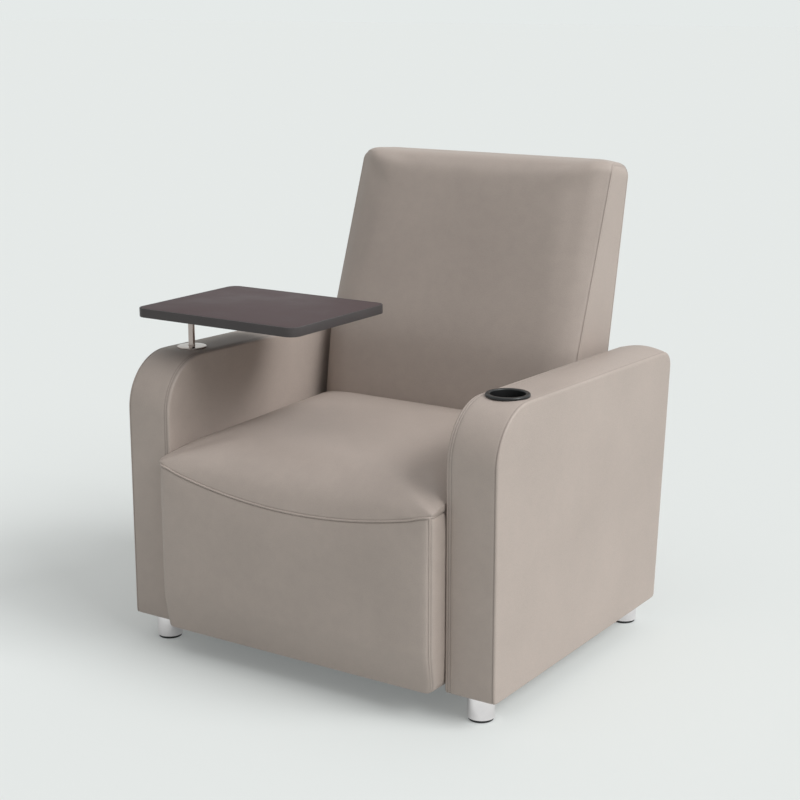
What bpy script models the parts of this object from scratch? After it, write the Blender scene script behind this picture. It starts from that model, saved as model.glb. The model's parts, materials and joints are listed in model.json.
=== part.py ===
"""Upholstered guest chair with a swivelling tablet on one arm and a cup holder in the other.

Metres, +Z up. The chair faces -Y and stands on z = 0. Sizes along Y are measured back from the
front faces of the arms, and the back's own sizes are measured along its raked rear face.
"""

import math

import bmesh
import bpy
from mathutils import Matrix, Vector

# Fits and facets
GAP = 0.0003  # air between pieces that touch
SOFT_GAP = 0.0018  # air between a cushion's foam and its cover
REACH = 0.05  # how far a cutter runs past what it cuts
WELD = 0.00001
ARC_STEPS = 6
ROUND_STEPS = 32
BOLT_STEPS = 16
EDGE_STEPS = 2
CAGE_CUTS = 4
CAGE_CROWDING = 3  # how closely a soft cage's rows crowd to its edges
SMOOTH_ANGLE = math.radians(35)

# Whole chair
CHAIR_WIDTH = 0.832
LEG_HEIGHT = 0.051
COVER = 0.003  # vinyl with its wadding

# Arms
ARM_WIDTH = 0.103
ARM_FOOT_DEPTH = 0.655
ARM_TOP_DEPTH = 0.697
ARM_FRONT_HEIGHT = 0.580
ARM_REAR_HEIGHT = 0.562
ARM_FRONT_RADIUS = 0.105
ARM_REAR_RADIUS = 0.030
ARM_EDGE_RADIUS = 0.007
ARM_FOAM = 0.020
ARM_REAR_FOAM = 0.016
ARM_PANEL = 0.012
ARM_RAIL = 0.020
ARM_TOP_RAIL_START = 0.180

# Seat box
SEAT_OVERHANG = 0.042  # how far the seat stands out ahead of the arms
SEAT_DEPTH = 0.518
SEAT_CLEARANCE = 0.002
SEAT_FRONT_EDGE = 0.396  # height of the cushion's side edge at the arms' front
SEAT_REAR_EDGE = 0.424
SEAT_CROWN = 0.016
SEAT_ROLL_LENGTH = 0.110
SEAT_LIP = 0.012  # how far the cushion's front stands above the seam before it rolls back
SEAT_WAIST = 0.003
SEAT_RAIL = 0.022
SEAT_RAIL_HEIGHT = 0.085
SEAT_RAIL_TOP = 0.300
SEAT_SIDE_RAIL_END = 0.577
SEAT_REAR_RAIL_START = 0.500
WEBBING = 0.002
WEBBING_STRAP = 0.050
WEBBING_COLUMNS = 5
WEBBING_ROWS = 4
DUST_COVER = 0.002
DUST_COVER_END = 0.530

# Front panel under the seat
APRON_CLEARANCE = 0.0045
APRON_FOOT = 0.056
APRON_CORNER = 0.014
APRON_EDGE = 0.008
APRON_FOAM = 0.018
APRON_BOARD = 0.015
APRON_RETURN = 0.014  # how far its sides run back past the arms' front
SEAM_CORNER = 0.3865
SEAM_DROOP = 0.0425
SEAM_STEPS = 12

# Back
BACK_RAKE = math.radians(11)
BACK_FOOT_DEPTH = 0.547  # where the rear face would meet the floor
BACK_CLEARANCE = 0.016
BACK_BASE = 0.335
BACK_LUMBAR = 0.550
BACK_HEIGHT = 0.9455
BACK_BASE_THICKNESS = 0.126
BACK_LUMBAR_THICKNESS = 0.138
BACK_TOP_THICKNESS = 0.076
BACK_CROWN = 0.022
BACK_PILLOW = 10  # how far out to its sides the crown stays full
BACK_CORNER = 0.030
BACK_CAP_FOAM = 0.040
REAR_PANEL = 0.006
REAR_PANEL_FOOT = 0.060
REAR_PANEL_MARGIN = 0.0015  # between the panel's rim and the cover round it
REAR_PANEL_CORNER = 0.080
UPRIGHT_WIDTH = 0.040
UPRIGHT_DEPTH = 0.035
BACK_RAIL_HEIGHT = 0.045

# Fasteners between the arms and the seat rails
ARM_BOLT_DIAMETER = 0.008
ARM_BOLT_HEAD = 0.016
ARM_BOLT_HEAD_HEIGHT = 0.005
ARM_BOLT_TAIL = 0.010
ARM_BOLT_HEIGHT = 0.257
ARM_BOLT_DEPTHS = (0.100, 0.440)

# Legs
LEG_DIAMETER = 0.051
LEG_CHAMFER = 0.001
LEG_FRONT_INSET = 0.042
LEG_REAR_INSET = 0.0345
GLIDE_DIAMETER = 0.046
GLIDE_HEIGHT = 0.005
GLIDE_STEM = 0.008
GLIDE_STEM_LENGTH = 0.012
HANGER_DIAMETER = 0.008
HANGER_IN_LEG = 0.022
HANGER_SHORT = 0.002  # how far below the rail's top it ends

# Cup holder
CUP_DEPTH = 0.1208  # its centre, back from the arm's front
CUP_BORE = 0.0640
CUP_WALL = 0.002
CUP_HEIGHT = 0.075
CUP_RIM_DIAMETER = 0.080
CUP_RIM_HEIGHT = 0.0055
CUP_LIP = 0.003

# Tablet and its post
POST_DEPTH = 0.1346  # the post's axis, back from the arm's front
POST_DIAMETER = 0.013
BUSHING_DIAMETER = 0.019
BLOCK_LENGTH = 0.058
BLOCK_HEIGHT = 0.080
COLLAR_DIAMETER = 0.024
COLLAR_HEIGHT = 0.010
FLANGE_DIAMETER = 0.058
FLANGE_HEIGHT = 0.004
FLANGE_CHAMFER = 0.001
TABLET_WIDTH = 0.385
TABLET_DEPTH = 0.305
TABLET_THICKNESS = 0.018
TABLET_HEIGHT = 0.669
TABLET_CORNER = 0.022
TABLET_SIDE_MARGIN = 0.0515  # the post's axis, in from the tablet's outer edge
TABLET_FRONT_MARGIN = 0.106
EDGE_BAND = 0.003
MOUNT_PLATE = 0.090
MOUNT_PLATE_CORNER = 0.010
MOUNT_PLATE_THICKNESS = 0.004

# Places worked out from the sizes above
ARM_OUTER = CHAIR_WIDTH / 2
ARM_INNER = ARM_OUTER - ARM_WIDTH
ARM_MIDDLE = (ARM_OUTER + ARM_INNER) / 2
ARM_SKIN = COVER + GAP  # from an arm's face to what lies under its cover
ARM_FRAME_INSET = ARM_SKIN + ARM_FOAM + GAP
ARM_FRAME_REAR_INSET = ARM_SKIN + ARM_REAR_FOAM + GAP
ARM_FRAME_FOOT = LEG_HEIGHT + GAP
SEAT_FRONT = -SEAT_OVERHANG
SEAT_REAR = SEAT_FRONT + SEAT_DEPTH
SEAT_HALF = ARM_INNER - SEAT_CLEARANCE
SEAT_BASE = SEAT_RAIL_TOP + 2 * GAP + WEBBING
SIDE_RAIL_INNER = ARM_INNER - GAP - SEAT_RAIL
APRON_HALF = ARM_INNER - APRON_CLEARANCE
APRON_INSIDE = APRON_HALF - COVER - GAP
APRON_FOAM_FRONT = SEAT_FRONT + COVER + GAP
APRON_BOARD_FRONT = APRON_FOAM_FRONT + APRON_FOAM + GAP
FRONT_RAIL_FRONT = APRON_BOARD_FRONT + APRON_BOARD + GAP
BACK_HALF = ARM_INNER - BACK_CLEARANCE
UPRIGHT_OUTER = SIDE_RAIL_INNER - GAP
UPRIGHT_INNER = UPRIGHT_OUTER - UPRIGHT_WIDTH
UPRIGHT_REAR = -REAR_PANEL - GAP
UPRIGHT_FRONT = UPRIGHT_REAR - UPRIGHT_DEPTH
UPRIGHT_TOP = BACK_HEIGHT - COVER - GAP - BACK_CAP_FOAM
TABLET_BASE = TABLET_HEIGHT - TABLET_THICKNESS
MOUNT_PLATE_TOP = TABLET_BASE - GAP
POST_TOP = MOUNT_PLATE_TOP - MOUNT_PLATE_THICKNESS - GAP

# How an outline's plane lies: the turn from flat, and the axis that its thickness runs along
PLANES = {
    "YZ": ((math.pi / 2, 0, math.pi / 2), Vector((1, 0, 0))),
    "XZ": ((math.pi / 2, 0, 0), Vector((0, 1, 0))),
    "XY": ((0, 0, 0), Vector((0, 0, 1))),
}

# Base colour, roughness and metallic value of each finish
FINISHES = {
    "vinyl": ((0.30, 0.26, 0.23, 1), 0.45, 0.0),
    "foam": ((0.75, 0.68, 0.48, 1), 0.95, 0.0),
    "plywood": ((0.55, 0.38, 0.21, 1), 0.7, 0.0),
    "hardwood": ((0.48, 0.31, 0.17, 1), 0.7, 0.0),
    "webbing": ((0.12, 0.12, 0.12, 1), 0.9, 0.0),
    "dust_cloth": ((0.02, 0.02, 0.02, 1), 0.95, 0.0),
    "steel": ((0.45, 0.45, 0.46, 1), 0.4, 1.0),
    "chrome": ((0.80, 0.80, 0.81, 1), 0.08, 1.0),
    "black_plastic": ((0.012, 0.012, 0.013, 1), 0.35, 0.0),
    "laminate": ((0.145, 0.115, 0.118, 1), 0.4, 0.0),
    "edge_band": ((0.065, 0.06, 0.06, 1), 0.45, 0.0),
}


# Scene, materials and placing

def clear_scene():
    for thing in list(bpy.data.objects):
        bpy.data.objects.remove(thing, do_unlink=True)
    for group in list(bpy.data.collections):
        bpy.data.collections.remove(group)


def new_collection(name):
    group = bpy.data.collections.new(name)
    bpy.context.scene.collection.children.link(group)
    return group


def new_finish(name):
    color, roughness, metallic = FINISHES[name]
    finish = bpy.data.materials.new(name)
    finish.use_nodes = True
    shader = finish.node_tree.nodes["Principled BSDF"]
    shader.inputs["Base Color"].default_value = color
    shader.inputs["Roughness"].default_value = roughness
    shader.inputs["Metallic"].default_value = metallic
    return finish


def new_empty(name, parent, location=(0, 0, 0), rotation=(0, 0, 0)):
    empty = bpy.data.objects.new(name, None)
    empty.parent = parent
    empty.location = location
    empty.rotation_euler = rotation
    PARTS.objects.link(empty)
    return empty


def place(name, mesh, finish, parent, location=(0, 0, 0), rotation=(0, 0, 0)):
    """A part with its finish, or a cutter where the finish is None."""
    piece = bpy.data.objects.new(name, mesh)
    piece.parent = parent
    piece.location = location
    piece.rotation_euler = rotation
    if finish is None:
        piece.hide_render = True
        piece.display_type = "WIRE"
        CUTTERS.objects.link(piece)
    else:
        mesh.materials.append(MATERIALS[finish])
        mesh.shade_smooth()
        mesh.set_sharp_from_angle(angle=SMOOTH_ANGLE)
        PARTS.objects.link(piece)
    return piece


def cut(piece, *cutters):
    for cutter in cutters:
        boolean = piece.modifiers.new("cut_" + cutter.name, "BOOLEAN")
        boolean.operation = "DIFFERENCE"
        boolean.object = cutter


# Shapes

def mesh_from(work, name):
    mesh = bpy.data.meshes.new(name)
    work.to_mesh(mesh)
    work.free()
    return mesh


def box(name, low, high, finish, parent):
    low, high = Vector(low), Vector(high)
    work = bmesh.new()
    bmesh.ops.create_cube(work, size=1)
    bmesh.ops.scale(work, vec=high - low, verts=work.verts)
    return place(name, mesh_from(work, name), finish, parent, location=(low + high) / 2)


def rod(name, diameter, low, high, finish, parent, at=(0, 0, 0), along="Z", steps=ROUND_STEPS):
    """A round bar from low to high on the Z or X axis through a point."""
    work = bmesh.new()
    bmesh.ops.create_cone(
        work, cap_ends=True, segments=steps, radius1=diameter / 2, radius2=diameter / 2, depth=high - low
    )
    middle = Vector(at)
    turn = (0, 0, 0)
    if along == "X":
        middle.x += (low + high) / 2
        turn = (0, math.pi / 2, 0)
    else:
        middle.z += (low + high) / 2
    return place(name, mesh_from(work, name), finish, parent, middle, turn)


def turned(name, profile, finish, parent, at=(0, 0, 0), closed=False, rotation=(0, 0, 0), steps=ROUND_STEPS):
    """A profile of (radius, height) points, turned about its own Z axis."""
    points = [(radius, 0, height) for radius, height in profile]
    edges = [(i, i + 1) for i in range(len(points) - 1)]
    if closed:
        edges.append((len(points) - 1, 0))
    mesh = bpy.data.meshes.new(name)
    mesh.from_pydata(points, edges, [])
    piece = place(name, mesh, finish, parent, at, rotation)
    screw = piece.modifiers.new("turn", "SCREW")
    screw.steps = steps
    screw.render_steps = steps
    screw.use_merge_vertices = True
    screw.merge_threshold = WELD
    screw.use_smooth_shade = True
    return piece


def ring(name, inner, outer, low, high, finish, parent, at=(0, 0, 0)):
    profile = [(outer / 2, high), (outer / 2, low), (inner / 2, low), (inner / 2, high)]
    return turned(name, profile, finish, parent, at, closed=True)


def fillet(corners, radii):
    """A closed outline with its corners rounded, as points."""
    points = []
    for i, (corner, radius) in enumerate(zip(corners, radii)):
        here = Vector(corner)
        if radius <= 0:
            points.append(here)
            continue
        to_last = (Vector(corners[i - 1]) - here).normalized()
        to_next = (Vector(corners[(i + 1) % len(corners)]) - here).normalized()
        half = to_last.angle(to_next) / 2
        centre = here + (to_last + to_next).normalized() * radius / math.sin(half)
        spoke = here + to_last * radius / math.tan(half) - centre
        sweep = math.copysign(math.pi - 2 * half, to_next.cross(to_last))
        for step in range(ARC_STEPS + 1):
            points.append(centre + Matrix.Rotation(sweep * step / ARC_STEPS, 2) @ spoke)
    return points


def rounded_rectangle(low, high, radius):
    corners = [(low[0], low[1]), (high[0], low[1]), (high[0], high[1]), (low[0], high[1])]
    return fillet(corners, [radius] * len(corners))


def plate(name, outlines, low, high, plane, finish, parent, rim=0.0, floor=None):
    """Outlines in one plane, the first filled and the others holes, extruded from low to high.

    A rounded rim grows the outline by its radius. A floor cuts the plate off flat below that height.
    """
    curve = bpy.data.curves.new(name, "CURVE")
    curve.dimensions = "2D"
    curve.fill_mode = "BOTH"
    curve.extrude = (high - low) / 2 - rim
    curve.bevel_depth = rim
    curve.bevel_resolution = EDGE_STEPS
    for outline in outlines:
        spline = curve.splines.new("POLY")
        spline.points.add(len(outline) - 1)
        for point, (across, up) in zip(spline.points, outline):
            point.co = (across, up, 0, 1)
        spline.use_cyclic_u = True
    drawn = bpy.data.objects.new(name, curve)
    CUTTERS.objects.link(drawn)
    graph = bpy.context.evaluated_depsgraph_get()
    mesh = bpy.data.meshes.new_from_object(drawn.evaluated_get(graph))
    bpy.data.objects.remove(drawn)
    bpy.data.curves.remove(curve)
    work = bmesh.new()
    work.from_mesh(mesh)
    bpy.data.meshes.remove(mesh)
    bmesh.ops.remove_doubles(work, verts=work.verts, dist=WELD)
    if floor is not None:
        everything = work.verts[:] + work.edges[:] + work.faces[:]
        bmesh.ops.bisect_plane(
            work, geom=everything, plane_co=(0, floor, 0), plane_no=(0, -1, 0), clear_outer=True
        )
        bmesh.ops.holes_fill(work, edges=[edge for edge in work.edges if edge.is_boundary])
    bmesh.ops.recalc_face_normals(work, faces=work.faces)
    turn, axis = PLANES[plane]
    return place(name, mesh_from(work, name), finish, parent, axis * (low + high) / 2, turn)


def crowd(share):
    """Moves a share of a cage's half width, -1 to 1, towards its edge."""
    return math.copysign(1 - (1 - abs(share)) ** CAGE_CROWDING, share)


def blend(first, last, share):
    return first + (last - first) * share


def soft_block(name, form, finish, parent):
    """A coarse cage laid out by a form of three shares from -1 to 1, then smoothed."""
    work = bmesh.new()
    bmesh.ops.create_cube(work, size=2)
    bmesh.ops.subdivide_edges(work, edges=work.edges[:], cuts=CAGE_CUTS, use_grid_fill=True)
    for vert in work.verts:
        vert.co = form(crowd(vert.co.x), crowd(vert.co.y), crowd(vert.co.z))
    piece = place(name, mesh_from(work, name), finish, parent)
    smooth = piece.modifiers.new("soften", "SUBSURF")
    smooth.levels = 1
    smooth.render_levels = 1
    return piece


# Arms

def arm_top(depth):
    """Height of an arm's top line, behind its rounded front."""
    return blend(ARM_FRONT_HEIGHT, ARM_REAR_HEIGHT, depth / ARM_TOP_DEPTH)


def arm_top_ends(depth, length):
    """Lowest and highest point of the top line under a piece of that length."""
    front = max(depth - length / 2, ARM_FRONT_RADIUS)
    return sorted((arm_top(front), arm_top(depth + length / 2)))


def arm_rear(height):
    """Depth of an arm's raked rear line."""
    share = (height - LEG_HEIGHT) / (ARM_REAR_HEIGHT - LEG_HEIGHT)
    return blend(ARM_FOOT_DEPTH, ARM_TOP_DEPTH, share)


def arm_outline(inset, rear_inset, foot):
    """Side outline of an arm, drawn in from its face, as (depth, height) points."""
    rear_top = ARM_REAR_HEIGHT - inset
    corners = [
        (inset, foot),
        (inset, ARM_FRONT_HEIGHT - inset),
        (arm_rear(ARM_REAR_HEIGHT) - rear_inset, rear_top),
        (arm_rear(foot) - rear_inset, foot),
    ]
    rear_radius = ARM_REAR_RADIUS - max(inset, rear_inset)
    return fillet(corners, [0, ARM_FRONT_RADIUS - inset, rear_radius, 0])


def arm_form(name, side, inset, foot, finish):
    """An arm's whole padded form, drawn in all round, with rounded edges."""
    edge = ARM_EDGE_RADIUS - inset
    low, high = sorted((side * (ARM_INNER + inset), side * (ARM_OUTER - inset)))
    outline = arm_outline(inset + edge, inset + edge, foot - 2 * edge)
    return plate(name, [outline], low, high, "YZ", finish, CHAIR, edge, floor=foot)


def arm_span(side, inner_inset, outer_inset):
    return sorted((side * (ARM_INNER + inner_inset), side * (ARM_OUTER - outer_inset)))


def arm_rails(arm, low, high):
    front, foot = ARM_FRAME_INSET, ARM_FRAME_FOOT
    rear = arm_rear(foot) - ARM_FRAME_REAR_INSET
    bottom_top = foot + ARM_RAIL
    box(arm + "_bottom_rail", (low, front, foot), (high, rear, bottom_top), "hardwood", CHAIR)
    bolt_holes = []
    for end, depth in (("front", LEG_FRONT_INSET), ("rear", ARM_FOOT_DEPTH - LEG_REAR_INSET)):
        at = ((low + high) / 2, depth, 0)
        bore = HANGER_DIAMETER + 2 * GAP
        hole = rod(
            f"{arm}_{end}_hanger_hole", bore, foot - REACH, foot + REACH, None, CHAIR, at, steps=BOLT_STEPS
        )
        bolt_holes.append(hole)
    cut(PARTS.objects[arm + "_bottom_rail"], *bolt_holes)
    foot = bottom_top + GAP
    top = ARM_FRONT_HEIGHT - ARM_FRONT_RADIUS
    box(arm + "_front_rail", (low, front, foot), (high, front + ARM_RAIL, top), "hardwood", CHAIR)
    top_end = ARM_TOP_DEPTH - ARM_FRAME_REAR_INSET - ARM_REAR_RADIUS
    top_line = [(depth, arm_top(depth) - ARM_FRAME_INSET - GAP) for depth in (ARM_TOP_RAIL_START, top_end)]
    under_line = [(depth, height - ARM_RAIL) for depth, height in reversed(top_line)]
    plate(arm + "_top_rail", [top_line + under_line], low, high, "YZ", "hardwood", CHAIR)
    rear_top = under_line[0][1] - GAP
    rear_line = [(arm_rear(height) - ARM_FRAME_REAR_INSET, height) for height in (foot, rear_top)]
    inner_line = [(depth - ARM_RAIL, height) for depth, height in reversed(rear_line)]
    plate(arm + "_rear_rail", [rear_line + inner_line], low, high, "YZ", "hardwood", CHAIR)


def arm(name, side, top_hole):
    """One arm, whose cover and foam have a hole for what stands in its top."""
    below = LEG_HEIGHT - REACH
    cover = arm_form(name + "_cover", side, 0, LEG_HEIGHT, "vinyl")
    foam = arm_form(name + "_band_foam", side, ARM_SKIN, ARM_FRAME_FOOT, "foam")
    cut(cover, arm_form(name + "_cover_inside", side, COVER, below, None), top_hole)
    inset, rear_inset = ARM_SKIN + ARM_FOAM, ARM_SKIN + ARM_REAR_FOAM
    frame_room = arm_outline(inset, rear_inset, below)
    low, high = arm_span(side, -REACH, -REACH)
    cut(foam, plate(name + "_frame_room", [frame_room], low, high, "YZ", None, CHAIR), top_hole)
    outline = arm_outline(ARM_FRAME_INSET, ARM_FRAME_REAR_INSET, ARM_FRAME_FOOT)
    through = ARM_WIDTH - ARM_SKIN - ARM_PANEL
    low, high = arm_span(side, through, ARM_SKIN)
    plate(name + "_outer_panel", [outline], low, high, "YZ", "plywood", CHAIR)
    low, high = arm_span(side, ARM_SKIN, through)
    panel = plate(name + "_inner_panel", [outline], low, high, "YZ", "plywood", CHAIR)
    panel_room = ARM_SKIN + ARM_PANEL + GAP
    arm_rails(name, *arm_span(side, panel_room, panel_room))
    return cover, panel


def arm_bolts(arm, side, pieces):
    """Bolts through a seat rail and an arm's inner side, with a hole in each piece that they pass."""
    head = UPRIGHT_OUTER - ARM_BOLT_HEAD_HEIGHT
    tip = ARM_INNER + ARM_SKIN + ARM_PANEL + ARM_BOLT_TAIL
    profile = [
        (0, tip),
        (ARM_BOLT_DIAMETER / 2, tip),
        (ARM_BOLT_DIAMETER / 2, UPRIGHT_OUTER),
        (ARM_BOLT_HEAD / 2, UPRIGHT_OUTER),
        (ARM_BOLT_HEAD / 2, head),
        (0, head),
    ]
    for end, depth in zip(("front", "rear"), ARM_BOLT_DEPTHS):
        at = (0, depth, ARM_BOLT_HEIGHT)
        name = f"{arm}_bolt_{end}"
        turned(name, profile, "steel", CHAIR, at, rotation=(0, side * math.pi / 2, 0), steps=BOLT_STEPS)
        low, high = sorted((side * (head - REACH), side * (tip + GAP)))
        bore = ARM_BOLT_DIAMETER + 2 * GAP
        hole = rod(name + "_hole", bore, low, high, None, CHAIR, at, along="X", steps=BOLT_STEPS)
        for piece in pieces:
            cut(piece, hole)


# Seat box

def seam_height(across):
    """Height of the drooping front seam at a share of the seat's half width."""
    return SEAM_CORNER - SEAM_DROOP * (1 - across * across)


def apron_outline(inset):
    """The front panel's outline, as (x, z) points: round bottom corners and the seam as its top."""
    half = APRON_HALF - inset
    foot = APRON_FOOT + inset
    shares = [1 - 2 * step / SEAM_STEPS for step in range(SEAM_STEPS + 1)]
    seam = [(share * half, seam_height(share) - inset) for share in shares]
    corners = [(-half, foot), (half, foot)] + seam
    radius = APRON_CORNER - inset
    return fillet(corners, [radius, radius] + [0] * len(seam))


def apron_form(name, inset, rear, finish):
    edge = APRON_EDGE - inset
    front = SEAT_FRONT + inset
    return plate(name, [apron_outline(inset + edge)], front, rear, "XZ", finish, CHAIR, edge)


def room_behind(name, depth):
    """A cutter for all that lies behind a depth."""
    low, high = (-CHAIR_WIDTH, depth, 0), (CHAIR_WIDTH, depth + REACH, BACK_HEIGHT)
    return box(name + "_behind", low, high, None, CHAIR)


def apron():
    cover = apron_form("apron_cover", 0, APRON_RETURN + 2 * APRON_EDGE, "vinyl")
    inside = apron_form("apron_cover_inside", COVER, APRON_RETURN + REACH, None)
    cut(cover, inside, room_behind("apron_cover", APRON_RETURN))
    foam_rear = APRON_FOAM_FRONT + APRON_FOAM
    foam = apron_form("apron_foam", COVER + GAP, foam_rear + 2 * APRON_EDGE, "foam")
    cut(foam, room_behind("apron_foam", foam_rear))
    board_rear = APRON_BOARD_FRONT + APRON_BOARD
    inset = COVER + GAP
    outline = rounded_rectangle(
        (-APRON_INSIDE, APRON_FOOT + inset), (APRON_INSIDE, SEAT_RAIL_TOP), APRON_CORNER - inset
    )
    plate("apron_board", [outline], APRON_BOARD_FRONT, board_rear, "XZ", "plywood", CHAIR)


def seat_rails():
    top, foot = SEAT_RAIL_TOP, SEAT_RAIL_TOP - SEAT_RAIL_HEIGHT
    side_front = APRON_RETURN + GAP
    box(
        "seat_front_rail", (-APRON_INSIDE, FRONT_RAIL_FRONT, foot), (APRON_INSIDE, APRON_RETURN, top),
        "hardwood", CHAIR,
    )
    rails = {}
    for name, side in (("left", -1), ("right", 1)):
        low, high = sorted((side * SIDE_RAIL_INNER, side * (ARM_INNER - GAP)))
        rails[side] = box(
            f"seat_{name}_rail", (low, side_front, foot), (high, SEAT_SIDE_RAIL_END, top), "hardwood", CHAIR
        )
    half = SIDE_RAIL_INNER - GAP
    rear = SEAT_REAR_RAIL_START
    box("seat_rear_rail", (-half, rear, foot), (half, rear + SEAT_RAIL, top), "hardwood", CHAIR)
    return rails


def seat_webbing():
    """A flat mat of crossing straps over the rails."""
    half = APRON_INSIDE - WEBBING
    front, rear = FRONT_RAIL_FRONT, SEAT_REAR_RAIL_START + SEAT_RAIL
    outlines = [[(-half, front), (half, front), (half, rear), (-half, rear)]]
    step_x = (2 * half - WEBBING_STRAP) / WEBBING_COLUMNS
    step_y = (rear - front - WEBBING_STRAP) / WEBBING_ROWS
    for column in range(WEBBING_COLUMNS):
        for row in range(WEBBING_ROWS):
            left = -half + WEBBING_STRAP + column * step_x
            near = front + WEBBING_STRAP + row * step_y
            right = left + step_x - WEBBING_STRAP
            far = near + step_y - WEBBING_STRAP
            outlines.append([(left, near), (right, near), (right, far), (left, far)])
    low = SEAT_RAIL_TOP + GAP
    plate("seat_webbing", outlines, low, low + WEBBING, "XY", "webbing", CHAIR)


def seat_form(inset, open_by=0.0):
    """The seat cushion: a crowned top that rolls down at the front, and drawn-in sides.

    A form that hollows another runs out through its underside by the last value.
    """

    def form(u, v, w):
        back = (v + 1) / 2
        depth = blend(SEAT_FRONT + inset, SEAT_REAR - inset, back)
        roll = min(1, back * SEAT_DEPTH / SEAT_ROLL_LENGTH)
        edge = blend(SEAT_FRONT_EDGE, SEAT_REAR_EDGE, math.sin(back * math.pi / 2))
        crown = SEAT_CROWN * (1 - u * u)
        lip = seam_height(u) + SEAT_LIP
        top = blend(lip, edge + crown, math.sqrt(roll * (2 - roll))) - inset
        height = blend(SEAT_BASE, top, (w + 1) / 2)
        if w == -1:
            height -= open_by
        waist = SEAT_WAIST * (1 - w * w)
        return u * (SEAT_HALF - inset - waist), depth, height

    return form


def seat_cushion():
    foam = soft_block("seat_foam", seat_form(COVER + SOFT_GAP), "foam", CHAIR)
    cover = soft_block("seat_cover", seat_form(0), "vinyl", CHAIR)
    hollow = soft_block("seat_cover_inside", seat_form(COVER, REACH), None, CHAIR)
    front, rear = SEAT_FRONT - REACH, APRON_RETURN + 2 * APRON_EDGE
    outline = apron_outline(APRON_EDGE - 2 * GAP)
    apron_room = plate("apron_room", [outline], front, rear, "XZ", None, CHAIR, APRON_EDGE)
    cut(foam, apron_room)
    cut(cover, hollow, apron_room)


# Back, in the frame of its raked rear face

def back_thickness(height):
    if height < BACK_LUMBAR:
        share = (height - BACK_BASE) / (BACK_LUMBAR - BACK_BASE)
        return blend(BACK_BASE_THICKNESS, BACK_LUMBAR_THICKNESS, math.sin(share * math.pi / 2))
    share = (height - BACK_LUMBAR) / (BACK_HEIGHT - BACK_LUMBAR)
    return blend(BACK_LUMBAR_THICKNESS, BACK_TOP_THICKNESS, share)


def back_form(inset, rear, open_by=0.0):
    """The back cushion: a flat rear, a crowned and tapering front, and round top corners.

    A form that hollows another runs out through its underside and rear by the last value.
    """

    def form(u, v, w):
        across = u * (BACK_HALF - inset)
        height = blend(BACK_BASE, BACK_HEIGHT - inset, (w + 1) / 2)
        crown = BACK_CROWN * (1 - abs(u) ** BACK_PILLOW) * (1 - w ** 4)
        depth = blend(inset - back_thickness(height) - crown, rear, (v + 1) / 2)
        over_side = abs(across) - (BACK_HALF - BACK_CORNER)
        over_top = height - (BACK_HEIGHT - BACK_CORNER)
        if min(over_side, over_top) > 0 and math.hypot(over_side, over_top) > BACK_CORNER - inset:
            pull = (BACK_CORNER - inset) / math.hypot(over_side, over_top)
            across = math.copysign(BACK_HALF - BACK_CORNER + over_side * pull, across)
            height = BACK_HEIGHT - BACK_CORNER + over_top * pull
        if v == 1:
            depth += open_by
        if w == -1:
            height -= open_by
        return across, depth, height

    return form


def back_cushion():
    inset = COVER + SOFT_GAP
    foam = soft_block("back_foam", back_form(inset, UPRIGHT_REAR), "foam", BACK)
    cover = soft_block("back_cover", back_form(0, 0), "vinyl", BACK)
    hollow = soft_block("back_cover_inside", back_form(COVER, UPRIGHT_REAR, REACH), None, BACK)
    low = (-CHAIR_WIDTH, UPRIGHT_FRONT - GAP, 0)
    frame_room = box("back_frame_room", low, (CHAIR_WIDTH, REACH, UPRIGHT_TOP + GAP), None, BACK)
    cut(foam, frame_room)
    cut(cover, hollow)


def back_frame():
    foot = REAR_PANEL_FOOT + GAP
    for name, side in (("left", -1), ("right", 1)):
        low, high = sorted((side * UPRIGHT_INNER, side * UPRIGHT_OUTER))
        box(
            f"back_{name}_upright", (low, UPRIGHT_FRONT, foot), (high, UPRIGHT_REAR, UPRIGHT_TOP),
            "hardwood", BACK,
        )
    half = UPRIGHT_INNER - GAP
    for name, top in (("top", UPRIGHT_TOP), ("bottom", foot + BACK_RAIL_HEIGHT)):
        low = (-half, UPRIGHT_FRONT, top - BACK_RAIL_HEIGHT)
        box(f"back_{name}_rail", low, (half, UPRIGHT_REAR, top), "hardwood", BACK)
    half = BACK_HALF - COVER - REAR_PANEL_MARGIN
    top = BACK_HEIGHT - COVER - REAR_PANEL_MARGIN
    outline = fillet(
        [(-half, REAR_PANEL_FOOT), (half, REAR_PANEL_FOOT), (half, top), (-half, top)],
        [0, 0, REAR_PANEL_CORNER, REAR_PANEL_CORNER],
    )
    plate("back_rear_panel", [outline], -REAR_PANEL, 0, "XZ", "vinyl", BACK)


# Legs

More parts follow.
